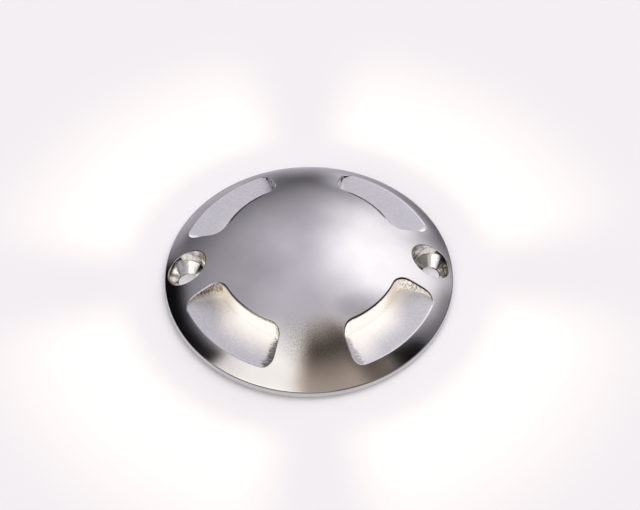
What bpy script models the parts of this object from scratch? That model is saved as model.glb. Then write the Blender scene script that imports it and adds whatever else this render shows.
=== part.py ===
"""A recessed ground light: a domed metal cover with four light windows and two screw holes, the
turned housing that hangs from it with the lamp and its driver inside, and the sleeve that is set
in the ground and that the light drops into.

Metres, +Z up. The origin is the middle of the sleeve's foot. The empty "light" stands on the
same axis at ground level, and every piece of the light is modelled from there, so ground level
is zero for the light and what is buried has negative heights. The light lifts out of the sleeve
along Z.
"""

from math import asin, cos, pi, radians, sin, sqrt, tau

import bmesh
import bpy
from mathutils import Matrix

mm = 0.001

# Cover: the dome is a cap of a sphere that stands on a short upright rim
cover_radius = 37.5 * mm
rim_height = 1.8 * mm
rim_round = 0.3 * mm
dome_rise = 13.5 * mm
crown_wall = 2.7 * mm
lip_thickness = 0.8 * mm
lip_overhang = 0.4 * mm
spigot_depth = 8.0 * mm
spigot_wall = 1.4 * mm
shoulder_width = 1.4 * mm
shoulder_height = 1.6 * mm
rebate_depth = 0.3 * mm
rebate_play = 0.2 * mm
cover_segments = 72
sleeve_segments = 40
small_segments = 30
screw_segments = 14
dome_rings = 10

# Windows: pockets with a flat floor that runs out through the dome's surface
window_count = 4
window_floor = 4.55 * mm
window_half_angle = radians(26.8)
window_inner_corner = 3.6 * mm
window_outer_corner = 3.0 * mm
window_runout = 0.1 * mm
corner_steps = 4
window_arc_steps = 10

# Screw holes: counterbored and countersunk for a 4 mm countersunk screw, one at each side
screw_hole_radius = 2.4 * mm
screw_hole_land = 0.3 * mm
countersink_radius = 4.6 * mm
counterbore_radius = 5.0 * mm
counterbore_edge = 0.9 * mm
hole_segments = 20

# Clearances: gap between pieces that touch on the real light, and the play in the sleeve
gap = 0.3 * mm
slide_play = 0.6 * mm
overrun = 1.0 * mm
merge_distance = 0.001 * mm
sharp_angle = radians(32)
half_step_share = 0.5

# Lens and what it holds
lens_play = 0.5 * mm
lens_wall = 2.0 * mm
lens_flange = 1.5 * mm
gasket_thickness = 0.8 * mm
deflector_margin = 1.6 * mm
deflector_tip = 0.6 * mm
deflector_tip_height = 1.4 * mm
deflector_boss_radius = 4.0 * mm
deflector_rings = 6
deflector_curve = 1.7
crown_rings = 3

# Lamp board
board_margin = 1.4 * mm
led_board_thickness = 1.2 * mm
thermal_pad_thickness = 0.5 * mm
thermal_pad_margin = 1.0 * mm
led_count = 4
led_circle_share = 0.4
led_size = 3.5 * mm
led_base_height = 0.7 * mm
led_dome_radius = 1.4 * mm
led_sides = 12
led_dome_rings = 3
board_screw_count = 2
board_screw_radius = 1.0 * mm
board_screw_head_radius = 2.0 * mm
board_screw_head_height = 1.3 * mm
board_screw_length = 5.0 * mm
board_screw_edge = 3.5 * mm
screw_slot_width = 0.5 * mm
screw_slot_depth = 0.5 * mm

# Housing
neck_height = 6.7 * mm
neck_wall = 3.9 * mm
lamp_well = 2.4 * mm
deck_thickness = 3.0 * mm
housing_length = 47.7 * mm
upper_wall = 6.5 * mm
lower_wall = 4.2 * mm
upper_room = 23.0 * mm
groove_count = 4
groove_width = 2.6 * mm
groove_pitch = 7.6 * mm
groove_depth = 1.0 * mm
first_groove = 4.0 * mm
seal_cord_radius = 0.6 * mm
seal_place = 2.4 * mm
seal_sides = 6
inductor_sides = 8

# Driver and its pieces; their places are shares of the upper room's radius
driver_board_thickness = 1.6 * mm
inductor_ring_radius = 4.3 * mm
inductor_cord_radius = 2.1 * mm
inductor_place_shares = (-0.42, 0.10)
capacitor_sizes = ((4.0 * mm, 14.0 * mm), (3.2 * mm, 11.0 * mm))
capacitor_place_shares = ((0.44, 0.26), (0.42, -0.34))
rectifier_size = (6.0 * mm, 4.5 * mm, 2.5 * mm)
rectifier_place_shares = (-0.30, -0.66)
driver_chip_size = (4.0 * mm, 3.0 * mm, 1.6 * mm)
driver_chip_place_shares = (0.22, -0.72)
terminal_size = (11.0 * mm, 8.0 * mm, 9.0 * mm)
terminal_hole_radius = 1.5 * mm
terminal_hole_depth = 6.5 * mm
terminal_screw_radius = 1.6 * mm
terminal_screw_depth = 2.2 * mm
terminal_screw_height = 5.6 * mm
terminal_pitch_share = 0.47
lead_radius = 0.6 * mm
lead_hole_radius = 1.2 * mm
lead_spread = 3.0 * mm
lead_edge = 3.0 * mm
lead_bend = 1.8 * mm
lead_end = 1.2 * mm
lead_bend_steps = 6
lead_run_steps = 10

# Bottom cap
cap_thickness = 3.5 * mm
cap_chamfer = 0.8 * mm
cap_spigot = 6.3 * mm
cap_spigot_wall = 3.0 * mm
cap_seal_place = 1.6 * mm
cap_screw_count = 3
cap_screw_radius = 1.1 * mm
cap_screw_head_radius = 1.9 * mm
cap_screw_length = 8.6 * mm
spacer_wall = 1.7 * mm

# Cable gland
gland_thread_radius = 5.6 * mm
gland_bore_radius = 3.9 * mm
gland_hex_radius = 9.0 * mm
gland_hex_height = 3.2 * mm
gland_washer_radius = 8.3 * mm
gland_washer_thickness = 0.8 * mm
locknut_radius = 8.6 * mm
locknut_thickness = 2.8 * mm
gland_thread_stand = 0.6 * mm
collar_radius = 6.0 * mm
collar_length = 5.1 * mm
collar_pocket_radius = 5.0 * mm
collar_pocket_depth = 4.5 * mm
gland_seal_bore_radius = 3.2 * mm
gland_seal_length = 5.3 * mm
gland_seal_taper = 0.7 * mm
gland_nut_radius = 8.4 * mm
gland_nut_wall = 1.6 * mm
gland_nut_bore_radius = 3.4 * mm
gland_nut_round = 1.5 * mm

# Ground sleeve
sleeve_margin = 0.5 * mm
sleeve_wall = 1.4 * mm
sleeve_lead_in = 0.5 * mm
foot_reach = 5.0 * mm
foot_thickness = 2.5 * mm
drain_radius = 11.0 * mm
cable_space = 5.0 * mm
anchor_ring_count = 2
anchor_ring_reach = 2.4 * mm
anchor_ring_thickness = 2.0 * mm
gusset_count = 8
gusset_reach = 4.0 * mm
gusset_height = 20.0 * mm
gusset_thickness = 2.0 * mm
gusset_root = 0.7 * mm
entry_count = 2
entry_width = 12.0 * mm
entry_height = 13.0 * mm
entry_arc_steps = 10
plug_lip = 1.5 * mm
plug_lip_thickness = 1.3 * mm
plug_depth = 2.2 * mm

# Dome: sphere and heights worked out from the rim and the rise
dome_top = rim_height + dome_rise
sphere_radius = (cover_radius**2 + dome_rise**2) / (2 * dome_rise)
sphere_centre = dome_top - sphere_radius


def dome_height(radius):
    """Height of the dome's outer surface above the ground."""
    return sphere_centre + sqrt(sphere_radius**2 - radius**2)


# Radii, from the screw holes inwards
screw_circle = cover_radius - counterbore_edge - counterbore_radius
sleeve_outer = screw_circle - screw_hole_radius - sleeve_margin
rebate_radius = sleeve_outer + rebate_play
sleeve_inner = sleeve_outer - sleeve_wall
housing_radius = sleeve_inner - slide_play
foot_radius = sleeve_outer + foot_reach
spigot_inner = housing_radius - spigot_wall
neck_radius = spigot_inner - gap
bore_radius = spigot_inner - shoulder_width
window_inner = bore_radius - lip_overhang
lens_radius = bore_radius - lens_play
lens_inner = lens_radius - lens_wall
ceiling_edge = dome_height(bore_radius) - lip_thickness
ceiling_top = dome_top - crown_wall

# Heights, from the cover's shoulder down
gasket_top = shoulder_height - gap
gasket_bottom = gasket_top - gasket_thickness
flange_top = gasket_bottom - gap
flange_bottom = flange_top - lens_flange
neck_top = flange_bottom - gap
neck_bottom = neck_top - neck_height
deck_top = neck_top - lamp_well
deck_bottom = deck_top - deck_thickness
pad_top = deck_top + gap + thermal_pad_thickness
led_board_bottom = pad_top + gap
led_board_top = led_board_bottom + led_board_thickness
led_bottom = led_board_top + gap
housing_bottom = neck_bottom - housing_length
ledge_height = deck_bottom - upper_room
driver_board_top = ledge_height - gap
driver_board_bottom = driver_board_top - driver_board_thickness
cap_top = housing_bottom - gap
cap_bottom = cap_top - cap_thickness
cap_spigot_top = cap_top + cap_spigot
gland_washer_top = cap_bottom - gap
gland_hex_top = gland_washer_top - gland_washer_thickness - gap
gland_hex_bottom = gland_hex_top - gland_hex_height
collar_bottom = gland_hex_bottom - collar_length
pocket_top = collar_bottom + collar_pocket_depth
gland_seal_top = pocket_top - gap
gland_seal_bottom = gland_seal_top - gland_seal_length
gland_nut_top = gland_hex_bottom - gap
gland_nut_floor = gland_seal_bottom - gap
gland_nut_bottom = gland_nut_floor - gland_nut_wall
locknut_bottom = cap_top + gap
locknut_top = locknut_bottom + locknut_thickness
gland_thread_top = locknut_top + gland_thread_stand

# Radii of the rooms in the housing
lamp_well_radius = neck_radius - neck_wall
led_board_radius = lamp_well_radius - board_margin
led_circle = led_circle_share * led_board_radius
board_screw_circle = led_board_radius - board_screw_edge
lead_circle = led_board_radius - lead_edge
upper_room_radius = housing_radius - upper_wall
lower_room_radius = housing_radius - lower_wall
fitted_radius = lower_room_radius - gap
cap_screw_circle = housing_radius - lower_wall / 2
groove_bed_width = 2 * (seal_cord_radius + gap)

# Ground sleeve: as deep as the light below ground, with room for the cable under it; its top
# stands in the rebate under the cover
ground_height = foot_thickness + cable_space - gland_nut_bottom
sleeve_top = ground_height + rebate_depth - gap


def ring_of(radius, height, count, start=0):
    """A loop of points on a circle, which starts a share of a step round from +X."""
    turns = (tau * (step + start) / count for step in range(count))
    return [(radius * cos(turn), radius * sin(turn), height) for turn in turns]


def polygon_ring(radius, height, count, sides):
    """A loop of points on a regular polygon's outline; radius is to its corners."""
    loop = []
    for step in range(count):
        turn = tau * step / count
        off_flat = (turn + pi / sides) % (tau / sides) - pi / sides
        reach = radius * cos(pi / sides) / cos(pi / sides - abs(off_flat))
        loop.append((reach * cos(turn), reach * sin(turn), height))
    return loop


def turned(profile, steps):
    """A shape turned about Z. The profile is left open where it starts and ends on the axis."""
    shape = bmesh.new()
    points = [shape.verts.new((radius, 0, height)) for radius, height in profile]
    pairs = list(zip(points, points[1:]))
    if profile[0][0] > 0 or profile[-1][0] > 0:
        pairs.append((points[-1], points[0]))
    edges = [shape.edges.new(pair) for pair in pairs]
    bmesh.ops.spin(
        shape, geom=points + edges, cent=(0, 0, 0), axis=(0, 0, 1), angle=tau, steps=steps
    )
    return shape


def lofted(loops, ring=False):
    """A shape skinned over loops of equal count: capped at its ends, or closed into a ring."""
    shape = bmesh.new()
    rows = [[shape.verts.new(point) for point in loop] for loop in loops]
    pairs = list(zip(rows, rows[1:]))
    if ring:
        pairs.append((rows[-1], rows[0]))
    else:
        shape.faces.new(rows[0])
        shape.faces.new(rows[-1])
    for lower, upper in pairs:
        for step in range(len(lower)):
            after = (step + 1) % len(lower)
            shape.faces.new((lower[step], lower[after], upper[after], upper[step]))
    return shape


def cylinder(radius, bottom, top, count):
    """An upright cylinder on the Z axis, with a flat and not a corner towards +X."""
    return lofted([ring_of(radius, height, count, half_step_share) for height in (bottom, top)])


def block(size, bottom):
    """A block centred on the Z axis, standing at a height."""
    shape = bmesh.new()
    bmesh.ops.create_cube(shape, size=1)
    bmesh.ops.scale(shape, vec=size, verts=shape.verts)
    bmesh.ops.translate(shape, vec=(0, 0, bottom + size[2] / 2), verts=shape.verts)
    return shape


def mesh_of(name, shape):
    """Close a shape, turn its faces outwards and shade it."""
    bmesh.ops.remove_doubles(shape, verts=shape.verts, dist=merge_distance)
    bmesh.ops.recalc_face_normals(shape, faces=shape.faces)
    mesh = bpy.data.meshes.new(name)
    shape.to_mesh(mesh)
    shape.free()
    mesh.shade_smooth()
    mesh.set_sharp_from_angle(angle=sharp_angle)
    return mesh


def placed(name, data, parent, place=(0, 0, 0), turn=0):
    """An object under one of the two empties."""
    item = bpy.data.objects.new(name, data)
    item.location = place
    item.rotation_euler = (0, 0, turn)
    item.parent = parent
    bpy.context.scene.collection.objects.link(item)
    return item


def coat(data, colour, roughness, metallic):
    """Give a mesh or a curve its material."""
    material = bpy.data.materials.new(data.name + "_finish")
    material.use_nodes = True
    shader = material.node_tree.nodes["Principled BSDF"]
    shader.inputs["Base Color"].default_value = (*colour, 1)
    shader.inputs["Roughness"].default_value = roughness
    shader.inputs["Metallic"].default_value = metallic
    data.materials.append(material)


def piece(name, shape, parent, finish, place=(0, 0, 0), turn=0):
    """A sub-part of its own, from a shape."""
    mesh = mesh_of(name, shape)
    coat(mesh, *finish)
    return placed(name, mesh, parent, place, turn)


def cutter(name, mesh, parent, place=(0, 0, 0), turn=0):
    """A guide that only shapes other pieces."""
    guide = placed(name, mesh, parent, place, turn)
    guide.hide_render = True
    guide.display_type = "WIRE"
    return guide


def shaped_by(item, guide, operation="DIFFERENCE"):
    """Cut a guide out of a piece, or add it."""
    change = item.modifiers.new(guide.name, "BOOLEAN")
    change.operation = operation
    change.solver = "EXACT"
    change.object = guide


# Finishes: colour, roughness and how metallic
satin_nickel = ((0.62, 0.60, 0.59), 0.28, 1.0)
frosted_lens = ((0.96, 0.94, 0.88), 0.45, 0.0)
bright_mirror = ((0.86, 0.86, 0.87), 0.10, 1.0)
raw_aluminium = ((0.70, 0.71, 0.72), 0.40, 1.0)
black_rubber = ((0.03, 0.03, 0.03), 0.80, 0.0)
white_mask = ((0.90, 0.90, 0.88), 0.40, 0.0)
led_phosphor = ((0.95, 0.82, 0.35), 0.35, 0.0)
zinc_steel = ((0.72, 0.72, 0.74), 0.30, 1.0)
grey_silicone = ((0.45, 0.47, 0.50), 0.70, 0.0)
green_mask = ((0.05, 0.24, 0.12), 0.40, 0.0)
copper_winding = ((0.72, 0.36, 0.16), 0.30, 1.0)
black_can = ((0.06, 0.06, 0.09), 0.35, 0.0)
black_epoxy = ((0.04, 0.04, 0.04), 0.50, 0.0)
grey_plastic = ((0.34, 0.36, 0.38), 0.50, 0.0)
red_lead = ((0.60, 0.04, 0.03), 0.45, 0.0)
black_lead = ((0.04, 0.04, 0.04), 0.45, 0.0)
white_nylon = ((0.85, 0.85, 0.82), 0.50, 0.0)
sleeve_plastic = ((0.07, 0.07, 0.075), 0.55, 0.0)


def cover_profile():
    """Dome from the crown to the rim, underside, spigot, lens bore and ceiling."""
    reach = cover_radius - rim_round
    dome = [
        (reach * ring / dome_rings, dome_height(reach * ring / dome_rings))
        for ring in range(dome_rings + 1)
    ]
    rim = [
        (cover_radius, dome_height(cover_radius) - rim_round),
        (cover_radius, 0),
    ]
    spigot = [
        (rebate_radius, 0),
        (rebate_radius, rebate_depth),
        (housing_radius, rebate_depth),
        (housing_radius, -spigot_depth),
        (spigot_inner, -spigot_depth),
        (spigot_inner, shoulder_height),
        (bore_radius, shoulder_height),
    ]
    return dome + rim + spigot + ceiling(bore_radius, 0)


def ceiling(edge, drop):
    """Points under the dome from an edge to the axis, lowered by a drop."""
    points = []
    for ring in range(crown_rings + 1):
        share = 1 - ring / crown_rings
        height = ceiling_top + (ceiling_edge - ceiling_top) * (share * edge / bore_radius) ** 2
        points.append((share * edge, height - drop))
    return points


def corner_points(arc_radius, corner, side, inside):
    """Points of a rounded corner between an arc about the axis and a window's radial end."""
    reach = arc_radius + corner if inside else arc_radius - corner
    turn_in = asin(corner / reach)
    middle = side * (window_half_angle - turn_in)
    centre = (reach * cos(middle), reach * sin(middle))
    first = middle + pi if inside else middle
    last = side * (window_half_angle + pi / 2)
    sweep = (last - first + pi) % tau - pi
    points = []
    for step in range(corner_steps + 1):
        turn = first + sweep * step / corner_steps
        points.append((centre[0] + corner * cos(turn), centre[1] + corner * sin(turn)))
    return points


def window_outline():
    """Plan of a window about +X: two arcs about the axis, two radial ends, round corners."""
    floor_edge = sqrt(sphere_radius**2 - (window_floor - sphere_centre) ** 2)
    window_outer = floor_edge + window_runout
    outline = []
    outline += reversed(corner_points(window_inner, window_inner_corner, -1, True))
    outline += arc_between(window_inner, window_inner_corner, True)
    outline += corner_points(window_inner, window_inner_corner, 1, True)
    outline += reversed(corner_points(window_outer, window_outer_corner, 1, False))
    outline += reversed(arc_between(window_outer, window_outer_corner, False))
    outline += corner_points(window_outer, window_outer_corner, -1, False)
    return outline


def arc_between(arc_radius, corner, inside):
    """Points on a window's arc between its two corners."""
    reach = arc_radius + corner if inside else arc_radius - corner
    half = window_half_angle - asin(corner / reach)
    turns = (half * (2 * step / window_arc_steps - 1) for step in range(1, window_arc_steps))
    return [(arc_radius * cos(turn), arc_radius * sin(turn)) for turn in turns]


def make_cover(light):
    """Domed cover with its four windows and two screw holes."""
    cover = piece("cover", turned(cover_profile(), cover_segments), light, satin_nickel)
    outline = window_outline()
    window = lofted([
        [(x, y, window_floor) for x, y in outline],
        [(x, y, dome_top + overrun) for x, y in outline],
    ])
    window_mesh = mesh_of("window_cut", window)
    for number in range(window_count):
        turn = tau * (number + 0.5) / window_count
        shaped_by(cover, cutter(f"window_cut_{number + 1}", window_mesh, light, turn=turn))
    countersink_top = screw_hole_land + countersink_radius - screw_hole_radius
    hole = [
        (0, -overrun),
        (screw_hole_radius, -overrun),
        (screw_hole_radius, screw_hole_land),
        (countersink_radius, countersink_top),
        (counterbore_radius, countersink_top),
        (counterbore_radius, dome_top),
        (0, dome_top),
    ]
    hole_mesh = mesh_of("screw_hole_cut", turned(hole, hole_segments))
    half_step = half_step_share * tau / hole_segments
    for number, side in enumerate((1, -1)):
        place = (side * screw_circle, 0, 0)
        guide = cutter(f"screw_hole_cut_{number + 1}", hole_mesh, light, place, half_step)
        shaped_by(cover, guide)


def make_lens(light):
    """Frosted cup that shows in the windows, with the gasket on its flange."""
    gasket = [
        (bore_radius, gasket_bottom),
        (neck_radius, gasket_bottom),
        (neck_radius, gasket_top),
        (bore_radius, gasket_top),
    ]
    piece("lens_gasket", turned(gasket, small_segments), light, black_rubber)
    outside = ceiling(lens_radius, gap)
    inside = ceiling(lens_inner, gap + lens_wall)
    lens = outside[::-1] + [
        (lens_radius, flange_top),
        (neck_radius, flange_top),
        (neck_radius, flange_bottom),
        (lens_inner, flange_bottom),
    ]
    piece("lens", turned(lens + inside, sleeve_segments), light, frosted_lens)


def make_deflector(light):
    """Four-sided mirror that hangs point down over the lamps, a hollow face to each window."""
    plate = ceiling(lens_inner, gap + lens_wall)[0][1] - gap
    corner = lens_inner - deflector_margin
    loops = []
    for ring in range(deflector_rings + 1):
        share = ring / deflector_rings
        radius = deflector_tip + (corner - deflector_tip) * share
        height = deflector_tip_height + (plate - deflector_tip_height) * share**deflector_curve
        loops.append(ring_of(radius, height, window_count))
    deflector = piece("deflector", lofted(loops), light, bright_mirror)
    boss_top = ceiling_top - gap - lens_wall - gap
    boss_drop = (ceiling_top - ceiling_edge) * (deflector_boss_radius / bore_radius) ** 2
    boss = cylinder(deflector_boss_radius, plate - gap, boss_top - boss_drop, screw_segments)
    shaped_by(deflector, cutter("deflector_boss", mesh_of("deflector_boss", boss), light), "UNION")


def led_shape():
    """Square base with a round dome."""
    corner = led_size / sqrt(2)
    loops = [polygon_ring(corner, 0, led_sides, 4), polygon_ring(corner, led_base_height, led_sides, 4)]
    for ring in range(led_dome_rings):
        rise = pi / 2 * ring / led_dome_rings
        height = led_base_height + led_dome_radius * sin(rise) / 2
        loops.append(ring_of(led_dome_radius * cos(rise), height, led_sides))
    return lofted(loops)


def slotted_screw(head_radius, head_height, shank_radius, length):
    """Cheese-head screw standing on the plane at zero, shank down."""
    profile = [
        (0, head_height),
        (head_radius, head_height),
        (head_radius, 0),
        (shank_radius, 0),
        (shank_radius, -length),
        (0, -length),
    ]
    return turned(profile, screw_segments)


def make_lamp(light):
    """LED board on its thermal pad, with the four LEDs and the two screws."""
    pad = cylinder(led_board_radius - thermal_pad_margin, deck_top + gap, pad_top, small_segments)
    thermal_pad = piece("thermal_pad", pad, light, grey_silicone)
    board = cylinder(led_board_radius, led_board_bottom, led_board_top, small_segments)
    led_board = piece("led_board", board, light, white_mask)
    led_mesh = mesh_of("led", led_shape())
    coat(led_mesh, *led_phosphor)
    for number in range(led_count):
        turn = tau * (number + 0.5) / led_count
        place = (led_circle * cos(turn), led_circle * sin(turn), led_bottom)
        placed(f"led_{number + 1}", led_mesh, light, place, turn)
    screw = slotted_screw(
        board_screw_head_radius, board_screw_head_height, board_screw_radius, board_screw_length
    )
    screw_mesh = mesh_of("board_screw", screw)
    coat(screw_mesh, *zinc_steel)
    slot = block((2 * cover_radius, screw_slot_width, board_screw_head_height), 0)
    slot_height = led_bottom + board_screw_head_height - screw_slot_depth
    slot_mesh = mesh_of("board_screw_slot", slot)
    slot_guide = cutter("board_screw_slot", slot_mesh, light, (0, 0, slot_height))
    hole = cylinder(board_screw_radius + gap, deck_bottom - overrun, led_bottom, screw_segments)
    hole_mesh = mesh_of("board_screw_hole", hole)
    guides = []
    for number in range(board_screw_count):
        side = 1 - 2 * number
        place = (side * board_screw_circle, 0, led_bottom)
        shaped_by(placed(f"board_screw_{number + 1}", screw_mesh, light, place), slot_guide)
        guides.append(cutter(f"board_screw_hole_{number + 1}", hole_mesh, light, (place[0], 0, 0)))
    lead_hole = cylinder(lead_hole_radius, deck_bottom - overrun, led_bottom, screw_segments)
    lead_mesh = mesh_of("lead_hole", lead_hole)
    for number, side in enumerate((-1, 1)):
        place = (side * lead_spread, lead_circle, 0)
        guides.append(cutter(f"lead_hole_{number + 1}", lead_mesh, light, place))
    for guide in guides:
        shaped_by(thermal_pad, guide)
        shaped_by(led_board, guide)
    return guides


def seal_bed(outer, depth, middle):
    """Groove for a seal, cut into a wall that faces outwards, from its top edge down."""
    half = groove_bed_width / 2
    return [
        (outer, middle + half),
        (outer - depth, middle + half),
        (outer - depth, middle - half),
        (outer, middle - half),
    ]


def seal_ring(wall, middle):
    """O-ring that lies against the inside of a wall with the usual gap."""
    centre = wall - gap - seal_cord_radius
    turns = [tau * (side + 0.5) / seal_sides for side in range(seal_sides)]
    profile = [
        (centre + seal_cord_radius * cos(turn), middle + seal_cord_radius * sin(turn))
        for turn in turns
    ]
    return turned(profile, small_segments)


def make_housing(light, lamp_guides):
    """Turned pot with the lamp's deck, the driver's room and cooling grooves."""
    seal_middle = neck_top - seal_place
    bed = seal_bed(neck_radius, neck_radius + groove_bed_width - spigot_inner, seal_middle)
    outside = [(neck_radius, neck_top)] + bed + [(neck_radius, neck_bottom), (housing_radius, neck_bottom)]
    for number in range(groove_count):
        upper = neck_bottom - first_groove - number * groove_pitch
        lower = upper - groove_width
        outside += [
            (housing_radius, upper),
            (housing_radius - groove_depth, upper),
            (housing_radius - groove_depth, lower),
            (housing_radius, lower),
        ]
    inside = [
        (housing_radius, housing_bottom),
        (lower_room_radius, housing_bottom),
        (lower_room_radius, ledge_height),
        (upper_room_radius, ledge_height),
        (upper_room_radius, deck_bottom),
        (0, deck_bottom),
    ]
    well = [(0, deck_top), (lamp_well_radius, deck_top), (lamp_well_radius, neck_top)]
    housing = piece("housing", turned(well + outside + inside, small_segments), light, raw_aluminium)
    for guide in lamp_guides:
        shaped_by(housing, guide)
    piece("housing_seal", seal_ring(spigot_inner, seal_middle), light, black_rubber)
    return housing


def make_driver(light):
    """Driver board under its ledge, the pieces on it and the terminal block below it."""
    board = cylinder(fitted_radius, driver_board_bottom, driver_board_top, small_segments)
    piece("driver_board", board, light, green_mask)
    floor = driver_board_top + gap

    def on_board(shares):
        return (shares[0] * upper_room_radius, shares[1] * upper_room_radius, floor)

    turns = [tau * (side + 0.5) / inductor_sides for side in range(inductor_sides)]
    winding = [
        (
            inductor_ring_radius + inductor_cord_radius * cos(turn),
            inductor_cord_radius * (1 + sin(turn)),
        )
        for turn in turns
    ]
    inductor = turned(winding, hole_segments)
    piece("inductor", inductor, light, copper_winding, on_board(inductor_place_shares))
    for number, (radius, height) in enumerate(capacitor_sizes):
        can = cylinder(radius, 0, height, screw_segments)
        place = on_board(capacitor_place_shares[number])
        piece(f"capacitor_{number + 1}", can, light, black_can, place)
    rectifier_place = on_board(rectifier_place_shares)
    piece("rectifier", block(rectifier_size, 0), light, black_epoxy, rectifier_place)
    chip_place = on_board(driver_chip_place_shares)
    piece("driver_chip", block(driver_chip_size, 0), light, black_epoxy, chip_place)

    terminal_top = driver_board_bottom - gap
    terminal_bottom = terminal_top - terminal_size[2]
    terminal = piece("terminal_block", block(terminal_size, terminal_bottom), light, grey_plastic)
    screw_front = -terminal_size[1] / 2
    screw_height = terminal_bottom + terminal_screw_height
    wire = cylinder(
        terminal_hole_radius,
        terminal_bottom - overrun,
        terminal_bottom + terminal_hole_depth,
        screw_segments,
    )
    wire_mesh = mesh_of("terminal_wire", wire)
    pocket_depth = terminal_screw_depth + gap
    pocket = cylinder(terminal_screw_radius + gap, -overrun, pocket_depth, screw_segments)
    pocket_mesh = mesh_of("terminal_pocket", tilted_back(pocket))
    screw = cylinder(terminal_screw_radius, 0, terminal_screw_depth, screw_segments)
    screw_mesh = mesh_of("terminal_screw", tilted_back(screw))
    coat(screw_mesh, *zinc_steel)
    for number, side in enumerate((-1, 1)):
        across = side * terminal_pitch_share * terminal_size[0] / 2
        place = (across, screw_front, screw_height)
        shaped_by(terminal, cutter(f"terminal_wire_{number + 1}", wire_mesh, light, (across, 0, 0)))
        shaped_by(terminal, cutter(f"terminal_pocket_{number + 1}", pocket_mesh, light, place))
        placed(f"terminal_screw_{number + 1}", screw_mesh, light, place)


def tilted_back(shape):
    """Turn a shape's +Z to +Y."""
    bmesh.ops.rotate(shape, matrix=Matrix.Rotation(-pi / 2, 3, "X"), verts=shape.verts)
    return shape


def lead_points(side):
    """Up from the driver board, through the deck, and over on to the LED board."""
    across = side * lead_spread
    flat_height = led_board_top + gap + lead_radius
    start = driver_board_top + gap
    straight_top = flat_height - lead_bend
    points = []
    for step in range(lead_run_steps):
        points.append((across, lead_circle, start + (straight_top - start) * step / lead_run_steps))
    for step in range(lead_bend_steps + 1):
        turn = pi / 2 * step / lead_bend_steps
        inward = lead_circle - lead_bend * (1 - cos(turn))
        points.append((across, inward, straight_top + lead_bend * sin(turn)))
    points.append((across, lead_circle - lead_bend - lead_end, flat_height))
    return points


def make_leads(light):
    """Two insulated wires between the driver and the LED board."""
    for name, side, finish in (("lead_positive", -1, red_lead), ("lead_negative", 1, black_lead)):
        wire = bpy.data.curves.new(name, "CURVE")
        wire.dimensions = "3D"
        wire.bevel_depth = lead_radius
        wire.bevel_resolution = 1
        wire.use_fill_caps = True
        points = lead_points(side)
        spline = wire.splines.new("POLY")
        spline.points.add(len(points) - 1)
        for target, point in zip(spline.points, points):
            target.co = (*point, 1)
        coat(wire, *finish)
        placed(name, wire, light)


def make_cap(light, housing):
    """Bottom cap with its seal and screws, and the ring that holds the driver board."""
    spacer = [
        (fitted_radius - spacer_wall, cap_spigot_top + gap),
        (fitted_radius, cap_spigot_top + gap),
        (fitted_radius, driver_board_bottom - gap),
        (fitted_radius - spacer_wall, driver_board_bottom - gap),
    ]
    piece("board_spacer", turned(spacer, small_segments), light, white_nylon)
    seal_middle = cap_top + cap_seal_place + groove_bed_width / 2
    bed = seal_bed(fitted_radius, fitted_radius + groove_bed_width - lower_room_radius, seal_middle)
    profile = [
        (gland_thread_radius + gap, cap_bottom),
        (housing_radius - cap_chamfer, cap_bottom),
        (housing_radius, cap_bottom + cap_chamfer),
        (housing_radius, cap_top),
        (fitted_radius, cap_top),
    ]
    profile += bed[::-1]
    profile += [
        (fitted_radius, cap_spigot_top),
        (fitted_radius - cap_spigot_wall, cap_spigot_top),
        (fitted_radius - cap_spigot_wall, cap_top),
        (gland_thread_radius + gap, cap_top),
    ]
    cap = piece("bottom_cap", turned(profile, small_segments), light, raw_aluminium)
    piece("cap_seal", seal_ring(lower_room_radius, seal_middle), light, black_rubber)

    head_height = cap_screw_head_radius - cap_screw_radius
    screw = turned(
        [
            (0, 0),
            (cap_screw_head_radius, 0),
            (cap_screw_radius, head_height),
            (cap_screw_radius, cap_screw_length),
            (0, cap_screw_length),
        ],
        screw_segments,
    )
    screw_mesh = mesh_of("cap_screw", screw)
    coat(screw_mesh, *zinc_steel)
    hole = turned(
        [
            (0, -overrun),
            (cap_screw_head_radius + gap, -overrun),
            (cap_screw_head_radius + gap, gap / 2),
            (cap_screw_radius + gap, gap / 2 + head_height),
            (cap_screw_radius + gap, cap_screw_length + gap),
            (0, cap_screw_length + gap),
        ],
        screw_segments,
    )
    hole_mesh = mesh_of("cap_screw_hole", hole)
    for number in range(cap_screw_count):
        turn = pi / 2 + tau * number / cap_screw_count
        place = (cap_screw_circle * cos(turn), cap_screw_circle * sin(turn), cap_bottom)
        placed(f"cap_screw_{number + 1}", screw_mesh, light, place)
        guide = cutter(f"cap_screw_hole_{number + 1}", hole_mesh, light, place)
        shaped_by(cap, guide)
        shaped_by(housing, guide)


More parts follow.
